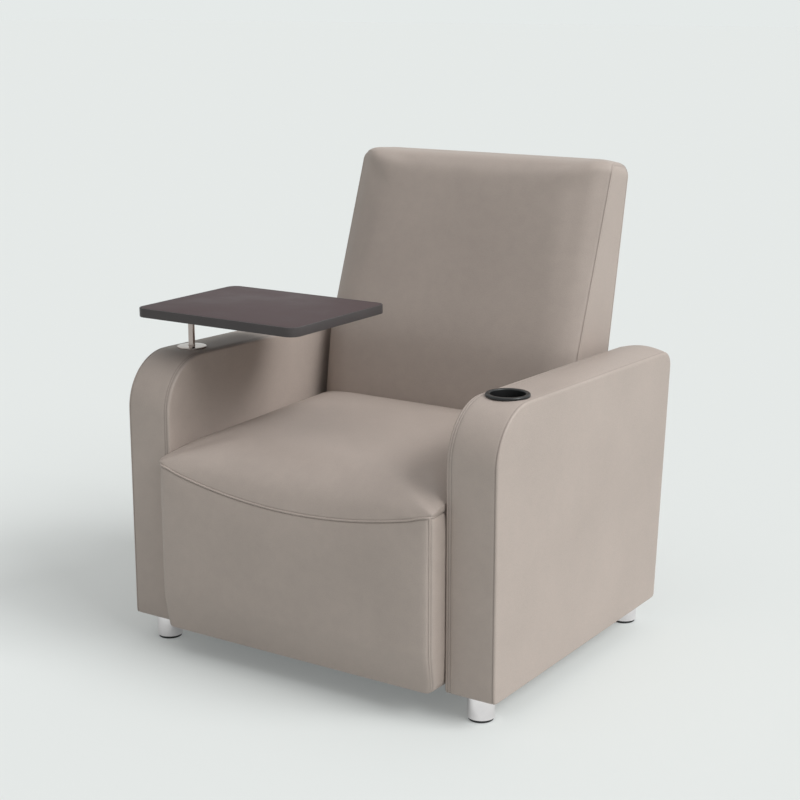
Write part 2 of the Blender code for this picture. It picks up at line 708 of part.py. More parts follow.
def leg(name, at):
    """A chromed leg on its glide, with the bolt that holds it to the arm."""
    top, foot = LEG_HEIGHT - GAP, GLIDE_HEIGHT + GAP
    outer = LEG_DIAMETER / 2
    bolt_bore = HANGER_DIAMETER / 2 + GAP
    bolt_floor = LEG_HEIGHT - HANGER_IN_LEG - GAP
    stem_bore = GLIDE_STEM / 2 + GAP
    stem_top = GLIDE_HEIGHT + GLIDE_STEM_LENGTH
    profile = [
        (0, bolt_floor),
        (bolt_bore, bolt_floor),
        (bolt_bore, top),
        (outer - LEG_CHAMFER, top),
        (outer, top - LEG_CHAMFER),
        (outer, foot + LEG_CHAMFER),
        (outer - LEG_CHAMFER, foot),
        (stem_bore, foot),
        (stem_bore, stem_top + GAP),
        (0, stem_top + GAP),
    ]
    turned(name, profile, "chrome", CHAIR, at)
    glide = [
        (0, stem_top),
        (GLIDE_STEM / 2, stem_top),
        (GLIDE_STEM / 2, GLIDE_HEIGHT),
        (GLIDE_DIAMETER / 2, GLIDE_HEIGHT),
        (GLIDE_DIAMETER / 2, 0),
        (0, 0),
    ]
    turned(name + "_glide", glide, "black_plastic", CHAIR, at)
    low, high = LEG_HEIGHT - HANGER_IN_LEG, ARM_FRAME_FOOT + ARM_RAIL - HANGER_SHORT
    rod(name + "_hanger_bolt", HANGER_DIAMETER, low, high, "steel", CHAIR, at, steps=BOLT_STEPS)


def legs():
    rear = ARM_FOOT_DEPTH - LEG_REAR_INSET
    for hand, side in (("left", -1), ("right", 1)):
        for end, depth in (("front", LEG_FRONT_INSET), ("rear", rear)):
            leg(f"leg_{end}_{hand}", (side * ARM_MIDDLE, depth, 0))


# Cup holder and tablet

def cup_holder():
    """A turned cup that hangs by its rim in the right arm, and the hole for it."""
    at = (ARM_MIDDLE, CUP_DEPTH, 0)
    under_rim = arm_top_ends(CUP_DEPTH, CUP_RIM_DIAMETER)[1] + GAP
    rim = under_rim + CUP_RIM_HEIGHT
    floor = rim - CUP_HEIGHT
    bore, body, outer = CUP_BORE / 2, CUP_BORE / 2 + CUP_WALL, CUP_RIM_DIAMETER / 2
    profile = [
        (0, floor + CUP_WALL),
        (bore, floor + CUP_WALL),
        (bore, rim - CUP_LIP),
        (bore + CUP_LIP, rim),
        (outer - CUP_LIP, rim),
        (outer, rim - CUP_LIP),
        (outer, under_rim),
        (body, under_rim),
        (body, floor),
        (0, floor),
    ]
    turned("cup_holder", profile, "black_plastic", CHAIR, at)
    return rod("cup_hole", 2 * (body + GAP), floor - REACH, rim + REACH, None, CHAIR, at)


def post_guide():
    """What guides the post in the left arm, and the hole for it in the arm's top."""
    at = (-ARM_MIDDLE, POST_DEPTH, 0)
    block_rear = POST_DEPTH + BLOCK_LENGTH / 2
    block_top = arm_top_ends(POST_DEPTH, BLOCK_LENGTH)[0] - ARM_FRAME_INSET - GAP
    block_base = block_top - BLOCK_HEIGHT
    flange_base = arm_top_ends(POST_DEPTH, FLANGE_DIAMETER)[1] + GAP
    half = ARM_WIDTH / 2 - ARM_SKIN - ARM_PANEL - GAP
    block = box(
        "post_block", (at[0] - half, POST_DEPTH - BLOCK_LENGTH / 2, block_base),
        (at[0] + half, block_rear, block_top), "hardwood", CHAIR,
    )
    bore = POST_DIAMETER + 2 * GAP
    ring("post_bushing", bore, BUSHING_DIAMETER, block_base, flange_base - GAP, "black_plastic", CHAIR, at)
    hole = rod(
        "bushing_hole", BUSHING_DIAMETER + 2 * GAP, block_base - REACH, flange_base + REACH, None, CHAIR, at
    )
    cut(block, hole)
    top, outer = flange_base + FLANGE_HEIGHT, FLANGE_DIAMETER / 2
    profile = [
        (outer - FLANGE_CHAMFER, top),
        (outer, top - FLANGE_CHAMFER),
        (outer, flange_base),
        (bore / 2, flange_base),
        (bore / 2, top),
    ]
    turned("post_flange", profile, "chrome", CHAIR, at, closed=True)
    return hole, block_base


def tablet(block_base):
    """The tablet with its post, which turn together about the post's axis."""
    collar_top = block_base - GAP
    post_foot = collar_top - COLLAR_HEIGHT
    rod("tablet_post", POST_DIAMETER, post_foot, POST_TOP, "chrome", TABLET)
    ring("post_collar", POST_DIAMETER + 2 * GAP, COLLAR_DIAMETER, post_foot, collar_top, "steel", TABLET)
    half = MOUNT_PLATE / 2
    outline = rounded_rectangle((-half, -half), (half, half), MOUNT_PLATE_CORNER)
    low = MOUNT_PLATE_TOP - MOUNT_PLATE_THICKNESS
    plate("tablet_mount_plate", [outline], low, MOUNT_PLATE_TOP, "XY", "steel", TABLET)
    low = Vector((-TABLET_SIDE_MARGIN, -TABLET_FRONT_MARGIN))
    high = low + Vector((TABLET_WIDTH, TABLET_DEPTH))

    def outline_at(inset):
        step = Vector((inset, inset))
        return rounded_rectangle(low + step, high - step, TABLET_CORNER - inset)

    band = [outline_at(0), outline_at(EDGE_BAND)]
    plate("tablet_edge_band", band, TABLET_BASE, TABLET_HEIGHT, "XY", "edge_band", TABLET)
    board = [outline_at(EDGE_BAND + GAP)]
    plate("tablet_top", board, TABLET_BASE, TABLET_HEIGHT, "XY", "laminate", TABLET)


def dust_cover():
    low = APRON_FOOT + COVER + GAP
    front = FRONT_RAIL_FRONT
    half = APRON_INSIDE - APRON_CORNER
    box("dust_cover", (-half, front, low), (half, DUST_COVER_END, low + DUST_COVER), "dust_cloth", CHAIR)


def stand_over_origin():
    """Moves the chair so that the origin lies under the middle of its box."""
    graph = bpy.context.evaluated_depsgraph_get()
    depths = []
    for piece in PARTS.objects:
        if piece.type == "MESH":
            solid = piece.evaluated_get(graph)
            depths += [(solid.matrix_world @ Vector(corner)).y for corner in solid.bound_box]
    CHAIR.location.y = -(min(depths) + max(depths)) / 2
    print("chair set back by", CHAIR.location.y)


clear_scene()
PARTS = new_collection("guest_chair")
CUTTERS = new_collection("cutters")
MATERIALS = {name: new_finish(name) for name in FINISHES}
CHAIR = new_empty("chair_datum", None)
BACK = new_empty("back_datum", CHAIR, (0, BACK_FOOT_DEPTH, 0), (-BACK_RAKE, 0, 0))
TABLET = new_empty("tablet_axis", CHAIR, (-ARM_MIDDLE, POST_DEPTH, 0))

cup_hole = cup_holder()
post_hole, post_block_base = post_guide()
seat_rail = seat_rails()
arm_bolts("arm_left", -1, [*arm("arm_left", -1, post_hole), seat_rail[-1]])
arm_bolts("arm_right", 1, [*arm("arm_right", 1, cup_hole), seat_rail[1]])
apron()
seat_webbing()
seat_cushion()
back_frame()
back_cushion()
legs()
tablet(post_block_base)
dust_cover()
stand_over_origin()
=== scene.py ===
"""Looks of a guest chair with a swivelling tablet and a cup holder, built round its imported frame.

Metres, +Z up, and the chair faces -Y. Depths are measured back from the front faces of the arms.
"""

import json
import math

import bpy
from bpy.props import FloatProperty, FloatVectorProperty, IntProperty, PointerProperty
from mathutils import Matrix, Vector, kdtree


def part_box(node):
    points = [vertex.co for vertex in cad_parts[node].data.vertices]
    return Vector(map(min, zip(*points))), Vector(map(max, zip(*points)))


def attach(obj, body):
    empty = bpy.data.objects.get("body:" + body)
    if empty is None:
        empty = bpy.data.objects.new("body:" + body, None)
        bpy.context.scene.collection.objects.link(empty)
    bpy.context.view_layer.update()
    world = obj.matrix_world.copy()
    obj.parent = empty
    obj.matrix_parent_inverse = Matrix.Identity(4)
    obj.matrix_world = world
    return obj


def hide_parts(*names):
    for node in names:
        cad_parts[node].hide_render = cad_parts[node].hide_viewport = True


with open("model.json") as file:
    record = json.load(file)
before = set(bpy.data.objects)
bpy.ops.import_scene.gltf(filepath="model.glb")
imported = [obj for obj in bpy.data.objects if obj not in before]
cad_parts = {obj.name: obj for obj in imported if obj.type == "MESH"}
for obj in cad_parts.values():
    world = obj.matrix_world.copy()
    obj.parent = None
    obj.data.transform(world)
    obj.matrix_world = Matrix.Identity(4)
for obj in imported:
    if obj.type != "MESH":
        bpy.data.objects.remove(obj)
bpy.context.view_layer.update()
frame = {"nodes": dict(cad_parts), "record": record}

bl_info = {
    "name": "Guest chair looks",
    "version": (1, 0, 0),
    "blender": (4, 5, 0),
    "location": "3D View > Sidebar > Guest chair",
    "description": "Dresses the packed frame of a guest chair in padded covers, trim and finishes",
    "category": "Object",
}

# Places that come from the frame
ARM_LOW, ARM_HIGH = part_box("arm_right_cover")
ARM_INNER = ARM_LOW.x
ARM_WIDTH = ARM_HIGH.x - ARM_LOW.x
FRONT = ARM_LOW.y
ARM_FOOT = ARM_LOW.z
APRON_LOW, APRON_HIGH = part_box("apron_cover")
SEAT_LOW, SEAT_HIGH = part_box("seat_cover")
CUP_LOW, CUP_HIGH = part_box("cup_holder")
FLANGE_LOW, FLANGE_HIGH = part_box("post_flange")
POST_LOW, POST_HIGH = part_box("tablet_post")
BAND_LOW, BAND_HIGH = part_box("tablet_edge_band")
BOARD_LOW, BOARD_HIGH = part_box("tablet_top")

SIDES = {"left": -1, "right": 1}
# Mark along the seams that the vinyl finish turns into painted shade
SEAM_SHADE_MARK = "seam"
FINISH = {}

# Rows and steps of the meshes
TINY = 1e-6  # lengths below this count as nothing
NO_MOVE = 1e-9
WELD = 0.00001  # points closer than this are merged
RIM = 0.999  # past this a point lies on a face of a cage that runs from -1 to 1
CROWDING = 0.9  # share by which rows leave their even spacing
ROUND_STEPS = 8
# Of an arm: its two rounds, then its uprights, its top and its underside
FRONT_ARC_STEPS, REAR_ARC_STEPS = 18, 9
UPRIGHT_STEPS, TOP_STEPS, UNDER_STEPS = 14, 26, 16
FRONT_SEAM_STEPS, SIDE_SEAM_STEPS, REAR_SEAM_STEPS = 60, 40, 30
CUP_ROUND_STEPS, CUP_UNDER_STEPS, CUP_TURN_STEPS = 6, 3, 128
POST_TURN_STEPS = 64
CORNER_STEPS = 12
STITCH_STEP = 0.0015
SEAT_ROWS = (44, 40, 12)
PANEL_ROWS = (48, 7, 34)
BACK_ROWS = (44, 14, 44)
OUTSIDE_ROWS = (40, 1, 48)
HOLE_STEPS = 64
SOFT_ANGLE, ARM_ANGLE, CUP_ANGLE, HARD_ANGLE = 60, 50, 35, 30  # steeper edges than these stay sharp
BEVEL_ANGLE = math.radians(60)

# Fine measures of the arms
ARM_FOOT_LIFT = 0.4  # share of a ring's inset by which its foot rises
LEAST_FRONT_ROUND = 0.03
LEAST_REAR_ROUND = 0.02
NEAR = 0.02  # share of a straight run that lies next to a corner
SIDE_INSETS = (0.10, 0.05, 0.022, 0.012)
EDGE_TURNS = (0, 30, 60, 90)
BAND_SHARES = (0.08, 0.18, 0.30, 0.43, 0.57, 0.70, 0.82, 0.92)
STITCH_HALF = 0.0009
# How far the painted shade along an arm's stitched line reaches
STITCH_SHADE_REACH = 0.0030
CROWN_DEPTH, CROWN_RUN = 0.16, 0.34  # where the crown starts to grow, and the way to its full height
CROWN_HEIGHT, CROWN_RISE = 0.30, 0.22
FOOT_RISE = 0.03  # height over which the crown grows from an arm's foot
POST_HOLE, POST_ROOM = 0.0130, 0.004
CUP_HOLE, CUP_ROOM = 0.0346, 0.001
CUTTER_REACH = 0.05

# Fine measures of the seat, the front panel and the back
SEAM_END = 0.16  # share of the half width over which the front seam flattens out
SEAM_END_DROOP = 0.5
SEAM_LEVEL = 0.3  # share of the round at a seam's end that stays level
SEAM_GAP = 0.0006  # from a cover's edge to the line of the front seam
SEAM_REAR, SEAM_REAR_RISE = 0.010, 0.003  # depth and rise of the front seam's ends
LEAST_LIP = 0.001
SEAT_UNDER, SEAT_UNDER_RUN = 0.016, 0.012  # where the underside leaves the seam, and its way down
PANEL_TUCK_HEIGHT = 0.085
PANEL_DRAW = 0.001
PANEL_FOOT_ROUND = 0.015
PANEL_SIDE_REACH = 0.03
CORNER_SEAM_LIFT = 0.002
OUTSIDE_INSET = 0.0025
OUTSIDE_SWELL = 0.0025
OUTSIDE_GAP = 0.0004

# Fine measures of the hardware
LEG_NECK, LEG_NECK_TOP, LEG_NECK_FOOT = 0.0012, 0.0035, 0.0045
LEG_EDGE = 0.0005
GLIDE_GAP = 0.0002
CUP_RIM, CUP_RIM_HEIGHT, CUP_WALL = 0.008, 0.0055, 0.002
CUP_FLOOR_START, CUP_FLOOR_ROUND, CUP_UNDER_ROUND = 0.006, 0.005, 0.0008
BOARD_EDGE = 0.0006
POST_EDGE = 0.0008
FLANGE_GAP, FLANGE_SLOPE, FLANGE_EDGE = 0.0003, 0.0006, 0.0009

# The stage
FLOOR_SIZE = 120
# The floor's share of the backdrop's tone, what it loses where it is seen straight, and its painted glow
# there, which lightens the chair's shadow on the floor
FLOOR_TONE, FLOOR_SEEN_LESS, FLOOR_PAINTED_GLOW = 0.92, 0.195, 0.235
AMBIENT, AMBIENT_STRENGTH = (1.0, 0.985, 0.975, 1), 0.357
LAMPS = {  # the way to each lamp, its strength and the angle over which it spreads
    "key": ((0.7097, 0.1769, 0.6820), 1.572, 26),
    "side": ((0.8013, -0.1703, 0.5736), 0.933, 24),
    "top": ((0.02, 0.0, 1.0), 0.581, 70),
}
LAMP_DISTANCE = 4
CAMERA_PLACE = (1.7603, -2.6894, 1.2614)
CAMERA_TURN = (math.radians(90 - 13.73), 0, math.radians(33.303))
LENS, SENSOR = 74.97, 36


def length(name, description, default):
    return FloatProperty(name=name, description=description, default=default, unit="LENGTH", precision=4)


def colour(name, description, default):
    linear = [part / 12.92 if part <= 0.04045 else ((part + 0.055) / 1.055) ** 2.4 for part in default]
    return FloatVectorProperty(
        name=name, description=description, default=linear, subtype="COLOR", size=3, min=0.0, max=1.0
    )


class CoverSizes(bpy.types.PropertyGroup):
    """Sizes of the padded covers."""

    arm_front_height: length("Arm front height", "Height where the top line would meet the front", 0.580)
    arm_rear_height: length("Arm rear height", "Height where the top line would meet the rear", 0.562)
    arm_foot_depth: length("Arm foot depth", "Depth of an arm at its foot", 0.655)
    arm_top_depth: length("Arm top depth", "Depth of an arm at its top", 0.697)
    arm_front_radius: length("Arm front radius", "Round of an arm's upper front", 0.105)
    arm_rear_radius: length("Arm rear radius", "Round of an arm's upper rear", 0.030)
    arm_edge: length("Arm edge", "Round of an arm's long edges", 0.0038)
    arm_crown: length("Arm crown", "How far the top band swells at its rear", 0.009)
    arm_crown_front: length("Arm front crown", "How far the band swells at its front", 0.002)
    seat_depth: length("Seat depth", "Depth of the seat cushion", 0.518)
    seat_front_edge: length("Seat front edge", "Height of the cushion's side edge at its front", 0.403)
    seat_rear_edge: length("Seat rear edge", "Height of the cushion's side edge at its rear", 0.411)
    seat_crown: length("Seat crown", "Crown of the seat before it is filled", 0.026)
    seat_shoulder: length("Seat shoulder", "Width over which the seat rises from its side seams", 0.090)
    seat_fill: length("Seat fill", "How far the filling may swell the seat", 0.008)
    seat_roll: length("Seat roll", "Length over which the seat rolls down to its front seam", 0.110)
    seat_lip: length("Seat lip", "Upright part of the seat above its front seam", 0.010)
    seam_corner: length("Seam corner", "Height of the front seam at its ends", 0.3865)
    seam_droop: length("Seam droop", "How far the front seam hangs down in the middle", 0.0425)
    panel_corner: length("Panel corner", "Round of the front panel's upright edges", 0.014)
    panel_swell: length("Panel swell", "How far the front panel swells", 0.010)
    panel_side_swell: length("Panel side swell", "How far the panel's ends swell towards the arms", 0.0040)
    panel_shoulder: length("Panel shoulder", "Width over which the panel rises from its side seams", 0.090)
    panel_tuck: length("Panel tuck", "How far the front panel draws back at its foot", 0.011)
    back_foot_depth: length("Back foot depth", "Depth where the back's rear face would meet the floor", 0.547)
    back_rake: FloatProperty(
        name="Back rake", description="Lean of the back", default=math.radians(11), subtype="ANGLE"
    )
    back_half: length("Back half width", "Half the width of the back", 0.297)
    back_base: length("Back base", "Foot of the back cushion along its rear face", 0.335)
    back_lumbar: length("Back lumbar", "Where the back is thickest, along its rear face", 0.550)
    back_height: length("Back height", "Top of the back along its rear face", 0.9455)
    back_base_thick: length("Back base thickness", "Thickness at the side seam, at the foot", 0.126)
    back_lumbar_thick: length("Back lumbar thickness", "Thickness at the side seam, at the lumbar", 0.138)
    back_top_thick: length("Back top thickness", "Thickness at the side seam, at the top", 0.076)
    back_crown: length("Back crown", "Crown of the back before it is filled", 0.025)
    back_shoulder: length("Back shoulder", "Width over which the back rises from its side seams", 0.044)
    back_fill: length("Back fill", "How far the filling may swell the back", 0.006)
    back_round: length("Back top round", "Round of the back's upper front edge", 0.036)
    back_corner: length("Back corner", "Round of the back's upper corners", 0.028)
    outside_thick: length("Outside back thickness", "Thickness of the outside back panel", 0.006)
    outside_foot: length("Outside back foot", "Foot of the outside back panel along its face", 0.060)
    pressure: FloatProperty(
        name="Filling pressure", description="Pressure that swells a cushion", default=4.0
    )
    frames: IntProperty(name="Filling frames", description="Frames over which a cushion swells", default=20)


class TrimSizes(bpy.types.PropertyGroup):
    """Sizes of welts, stitched seams and hardware."""

    welt: length("Welt", "Thickness of a welt", 0.0042)
    welt_proud: length("Welt height", "How far a welt stands out of the cover", 0.0010)
    fine_welt: length("Fine welt", "Thickness of the welts on the back", 0.0036)
    seam_reach: length("Seam reach", "How far a seam draws the cover in on each side", 0.0060)
    seam_depth: length("Seam depth", "How far a seam draws the cover in", 0.0018)
    strip: length("Seam strip", "Distance between the two stitched lines on an arm", 0.0048)
    strip_inset: length("Seam strip inset", "Middle of the stitched strip from an arm's inner face", 0.0086)
    line_inset: length("Seam line inset", "The single stitched line from an arm's outer face", 0.0050)
    groove: length("Stitch groove", "Depth of a stitched line", 0.0013)
    hard_edge: length("Hard edge", "Round of the edges of glides and of the tablet's band", 0.0012)
    rim_edge: length("Rim edge", "Round of the cup holder's rim", 0.0024)
    tablet_corner: length("Tablet corner", "Round of the tablet's corners", 0.022)
    edge_band: length("Edge band", "Thickness of the tablet's edge band", 0.003)


class FinishColours(bpy.types.PropertyGroup):
    """Colours of the finishes."""

    vinyl: colour("Vinyl", "Taupe leather-look cover", (0.682, 0.635, 0.603))
    laminate: colour("Laminate", "Dark brown board", (0.339, 0.298, 0.302))
    edge_band: colour("Edge band", "Dark rim of the board", (0.299, 0.286, 0.287))
    black_plastic: colour("Black plastic", "Moulded cup holder and glides", (0.075, 0.077, 0.080))
    chrome: colour("Chrome", "Bright plated metal of the legs", (0.945, 0.930, 0.935))
    post: colour("Post", "Plated metal of the post and its flange", (0.68, 0.635, 0.615))
    steel: colour("Steel", "Zinc plated metal", (0.70, 0.70, 0.71))
    hardwood: colour("Hardwood", "Bare rails", (0.72, 0.59, 0.45))
    plywood: colour("Plywood", "Bare panels", (0.77, 0.65, 0.50))
    webbing: colour("Webbing", "Woven seat straps", (0.38, 0.38, 0.38))
    lining: colour("Lining", "Black cloth under the seat", (0.15, 0.15, 0.15))
    backdrop: colour("Backdrop", "Floor and surroundings", (0.899, 0.916, 0.911))


def sizes_and_trim(context):
    return context.scene.guest_chair_covers, context.scene.guest_chair_trim


# Small sums

def blend(first, last, share):
    return first + (last - first) * share


def ease(share):
    share = min(1.0, max(0.0, share))
    return share * share * (3 - 2 * share)


def crowd(share):
    """Moves evenly spaced rows from -1 to 1 closer to their ends."""
    return blend(share, math.sin(share * math.pi / 2), CROWDING)


def shoulder(away, reach):
    """Rise of a filled cover, from 0 at its seam to 1 at its reach from the seam."""
    share = min(1.0, max(0.0, away / reach))
    return share * (2 - share)


def quarter():
    """Steps round a quarter turn, as one less the cosine and one less the sine of each angle."""
    angles = [math.pi / 2 * i / ROUND_STEPS for i in range(1, ROUND_STEPS + 1)]
    return [(1 - math.cos(angle), 1 - math.sin(angle)) for angle in angles]


def evenly(first, last, steps):
    """Values from the first to the last in even steps."""
    return [blend(first, last, i / steps) for i in range(steps + 1)]


def at_depth(x, depth, height):
    return Vector((x, FRONT + depth, height))


def rounded(first, second, corner_first, corner_second, radius, signs):
    """Pulls a point in two directions onto the round of a corner, if it lies beyond the round."""
    along = (first - corner_first) * signs[0] + radius
    up = (second - corner_second) * signs[1] + radius
    if along <= 0 or up <= 0:
        return first, second
    reach = math.hypot(along, up)
    if reach <= radius:
        return first, second
    first = corner_first + signs[0] * (along * radius / reach - radius)
    second = corner_second + signs[1] * (up * radius / reach - radius)
    return first, second


def side_round(x, half, other, end, radius, way):
    """Rounds the edge between a side, half a width from the middle, and an end of a piece."""
    side = math.copysign(1, x)
    return rounded(x, other, side * half, end, radius, (side, way))


def fillet(corner, before, after, radius, steps):
    """Points of the round corner of an outline."""
    to_before = (before - corner).normalized()
    to_after = (after - corner).normalized()
    half = to_before.angle(to_after) / 2
    middle = corner + (to_before + to_after).normalized() * (radius / math.sin(half))
    start = corner + to_before * (radius / math.tan(half)) - middle
    sweep = math.pi - 2 * half
    side = 1 if to_before.x * to_after.y - to_before.y * to_after.x < 0 else -1
    turns = [Matrix.Rotation(side * sweep * i / steps, 2) for i in range(steps + 1)]
    return [middle + turn @ start for turn in turns]


def between(first, last, steps):
    """Points from the first towards the last, without the last."""
    return [first.lerp(last, i / steps) for i in range(steps)]


def resampled(path, step):
    """A path's points at an even step."""
    points = []
    for first, last in zip(path, path[1:]):
        parts = max(1, math.ceil((last - first).length / step))
        points += between(first, last, parts)
    return points + [path[-1]]


# Making pieces

def begin():
    if bpy.context.object is not None and bpy.context.object.mode != "OBJECT":
        bpy.ops.object.mode_set(mode="OBJECT")
    bpy.ops.object.select_all(action="DESELECT")


def take(piece):
    """Makes a piece the active one, and the only one selected."""
    begin()
    bpy.context.view_layer.objects.active = piece
    piece.select_set(True)


def edit(piece):
    """Opens a piece for editing, with nothing selected in it."""
    take(piece)
    bpy.ops.object.mode_set(mode="EDIT")
    bpy.ops.mesh.select_all(action="DESELECT")


def close(piece, merge=0.0):
    """Ends the editing of a piece with its faces turned outwards."""
    if piece.mode != "EDIT":
        edit(piece)
    bpy.ops.mesh.select_all(action="SELECT")
    if merge:
        bpy.ops.mesh.remove_doubles(threshold=merge)
    bpy.ops.mesh.normals_make_consistent(inside=False)
    bpy.ops.mesh.select_all(action="DESELECT")
    bpy.ops.object.mode_set(mode="OBJECT")


def pick(piece, kind, test):
    """Selects the vertices or edges of a piece in edit mode that pass a test."""
    bpy.ops.mesh.select_all(action="DESELECT")
    bpy.ops.mesh.select_mode(type=kind)
    bpy.ops.object.mode_set(mode="OBJECT")
    items = {"VERT": piece.data.vertices, "EDGE": piece.data.edges}[kind]
    for item in items:
        item.select = test(item)
    bpy.ops.object.mode_set(mode="EDIT")


def apply(piece, kind, **values):
    """Adds a modifier and applies it."""
    take(piece)
    modifier = piece.modifiers.new(kind.lower(), kind)
    for name, value in values.items():
        setattr(modifier, name, value)
    bpy.ops.object.modifier_apply(modifier=modifier.name)


def soften(piece):
    apply(piece, "SUBSURF", levels=1, render_levels=1)


def done(piece, name, slot, angle, nodes=(), body="chair", finish=None):
    """Names a finished piece, gives it its finish and sets it on the frame."""
    take(piece)
    bpy.ops.object.shade_smooth_by_angle(angle=math.radians(angle))
    piece.name = name
    piece.data.name = name
    piece.data.materials.clear()
    piece.data.materials.append(FINISH[finish or slot])
    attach(piece, body)
    if nodes:
        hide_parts(*nodes)


def moved_copy(piece, shift):
    """A copy of a piece, with its own mesh, in another place."""
    copy = piece.copy()
    copy.data = piece.data.copy()
    copy.data.transform(Matrix.Translation(shift))
    bpy.context.collection.objects.link(copy)
    return copy


def cage(cuts, place):
    """A cube cut into rows, with its points put where place(across, along, up) says.

    The second value lists its points on the sides, the rear and the foot, which a filling doesn't move.
    """
    begin()
    bpy.ops.mesh.primitive_cube_add(size=2)
    piece = bpy.context.object
    edit(piece)
    for axis in range(3):
        points = piece.data.vertices

        def runs_along(edge):
            first, last = (points[i].co for i in edge.vertices)
            return abs(first[axis] - last[axis]) > TINY

        pick(piece, "EDGE", runs_along)
        bpy.ops.mesh.subdivide(number_cuts=cuts[axis])
        bpy.ops.object.mode_set(mode="OBJECT")
        bpy.ops.object.mode_set(mode="EDIT")
    bpy.ops.object.mode_set(mode="OBJECT")
    held = []
    for vertex in piece.data.vertices:
        x, y, z = vertex.co
        if abs(x) > RIM or y > RIM or z < -RIM:
            held.append(vertex.index)
        vertex.co = place(x, y, z)
    close(piece)
    return piece, held


def lofted(rings, poles):
    """A closed skin through rings of equally many points, shaped from a sphere."""
    steps = len(rings[0])
    begin()
    bpy.ops.mesh.primitive_uv_sphere_add(segments=steps, ring_count=len(rings) + 1, radius=1)
    piece = bpy.context.object
    for vertex in piece.data.vertices:
        x, y, z = vertex.co
        ring = round(math.acos(max(-1, min(1, z))) / math.pi * (len(rings) + 1))
        if ring == 0:
            vertex.co = poles[0]
        elif ring == len(rings) + 1:
            vertex.co = poles[1]
        else:
            spot = round(math.atan2(y, x) / (2 * math.pi) * steps) % steps
            vertex.co = rings[ring - 1][spot]
    close(piece)
    return piece


def turned(profile, centre, closed=False, steps=96):
    """A profile of (radius, height) points spun about an upright axis."""
    begin()
    bpy.ops.mesh.primitive_circle_add(vertices=len(profile), fill_type="NOTHING")
    piece = bpy.context.object
    x, y = centre
    for vertex, (radius, height) in zip(piece.data.vertices, profile):
        vertex.co = (x + radius, y, height)
    edit(piece)
    if not closed:
        ends = {0, len(profile) - 1}
        pick(piece, "EDGE", lambda edge: set(edge.vertices) == ends)
        bpy.ops.mesh.delete(type="EDGE")
    bpy.ops.mesh.select_all(action="SELECT")
    bpy.ops.mesh.spin(steps=steps, angle=2 * math.pi, center=(x, y, 0), axis=(0, 0, 1))
    close(piece, merge=WELD)
    return piece


def round_profile(corners, edge, steps=4):
    """A turned profile whose corners, apart from those on the axis, are rounded."""
    corners = [Vector(corner) for corner in corners]
    points = []
    for i, corner in enumerate(corners):
        before, after = corners[i - 1], corners[(i + 1) % len(corners)]
        if corner.x < TINY:
            points.append(corner)
        else:
            points += fillet(corner, before, after, edge, steps)
    return points


def welt(name, path, thick):
    """A round cord in its cover, laid along a seam."""
    begin()
    bpy.ops.curve.primitive_bezier_curve_add()
    cord = bpy.context.object
    cord.data.splines.clear()
    cord.data.dimensions = "3D"
    cord.data.bevel_depth = thick / 2
    cord.data.bevel_resolution = 3
    cord.data.use_fill_caps = True
    run = cord.data.splines.new("POLY")
    run.points.add(len(path) - 1)
    for point, place in zip(run.points, path):
        point.co = (*place, 1)
    bpy.ops.object.convert(target="MESH")
    piece = bpy.context.object
    close(piece, merge=WELD)
    done(piece, name, "vinyl", SOFT_ANGLE)


def sew(piece, paths, reach, depth):
    """Draws a cover in along its seams, and marks the seams, which the finish turns into painted shade."""
    points = [point for path in paths for point in resampled(path, STITCH_STEP)]
    tree = kdtree.KDTree(len(points))
    for i, point in enumerate(points):
        tree.insert(point, i)
    tree.balance()
    mesh = piece.data
    marks = mesh.attributes.new(SEAM_SHADE_MARK, "FLOAT", "POINT")
    normals = [vertex.normal.copy() for vertex in mesh.vertices]
    for vertex, normal in zip(mesh.vertices, normals):
        away = tree.find(vertex.co)[2]
        share = max(0.0, 1 - away / reach)
        marks.data[vertex.index].value = share
        vertex.co -= normal * depth * share * share
    mesh.update()


def fill_out(piece, held, most):
    """Swells the free part of a cover by pressure from inside, by no more than a cap."""
    sizes = bpy.context.scene.guest_chair_covers
    start = [vertex.co.copy() for vertex in piece.data.vertices]
    group = piece.vertex_groups.new(name="held")
    group.add(held, 1.0, "REPLACE")
    take(piece)
    cloth = piece.modifiers.new("filling", "CLOTH")
    cloth.settings.vertex_group_mass = group.name
    cloth.settings.use_pressure = True
    cloth.settings.uniform_pressure_force = sizes.pressure
    cloth.settings.effector_weights.gravity = 0
    cloth.collision_settings.use_collision = False
    cloth.point_cache.frame_start = 1
    cloth.point_cache.frame_end = sizes.frames
    for step in range(1, sizes.frames + 1):
        bpy.context.scene.frame_set(step)
    bpy.ops.object.modifier_apply(modifier=cloth.name)
    bpy.context.scene.frame_set(1)
    piece.vertex_groups.clear()
    for vertex, place in zip(piece.data.vertices, start):
        move = vertex.co - place
        if move.length > NO_MOVE:
            vertex.co = place + move * (most * math.tanh(move.length / most) / move.length)
    edit(piece)
    loose = set(range(len(start))) - set(held)
    pick(piece, "VERT", lambda vertex: vertex.index in loose)
    bpy.ops.mesh.vertices_smooth(factor=0.5, repeat=2)
    bpy.ops.object.mode_set(mode="OBJECT")


# Finishes

def feed(tree, made, values):
    """Sets a node's inputs to values, or links them to sockets."""
    for name, value in values.items():
        if isinstance(value, bpy.types.NodeSocket):
            tree.links.new(value, made.inputs[name])
        else:
            made.inputs[name].default_value = value


def node(tree, kind, values=(), **options):
    made = tree.nodes.new(kind)
    for name, value in options.items():
        setattr(made, name, value)
    feed(tree, made, dict(values))
    return made


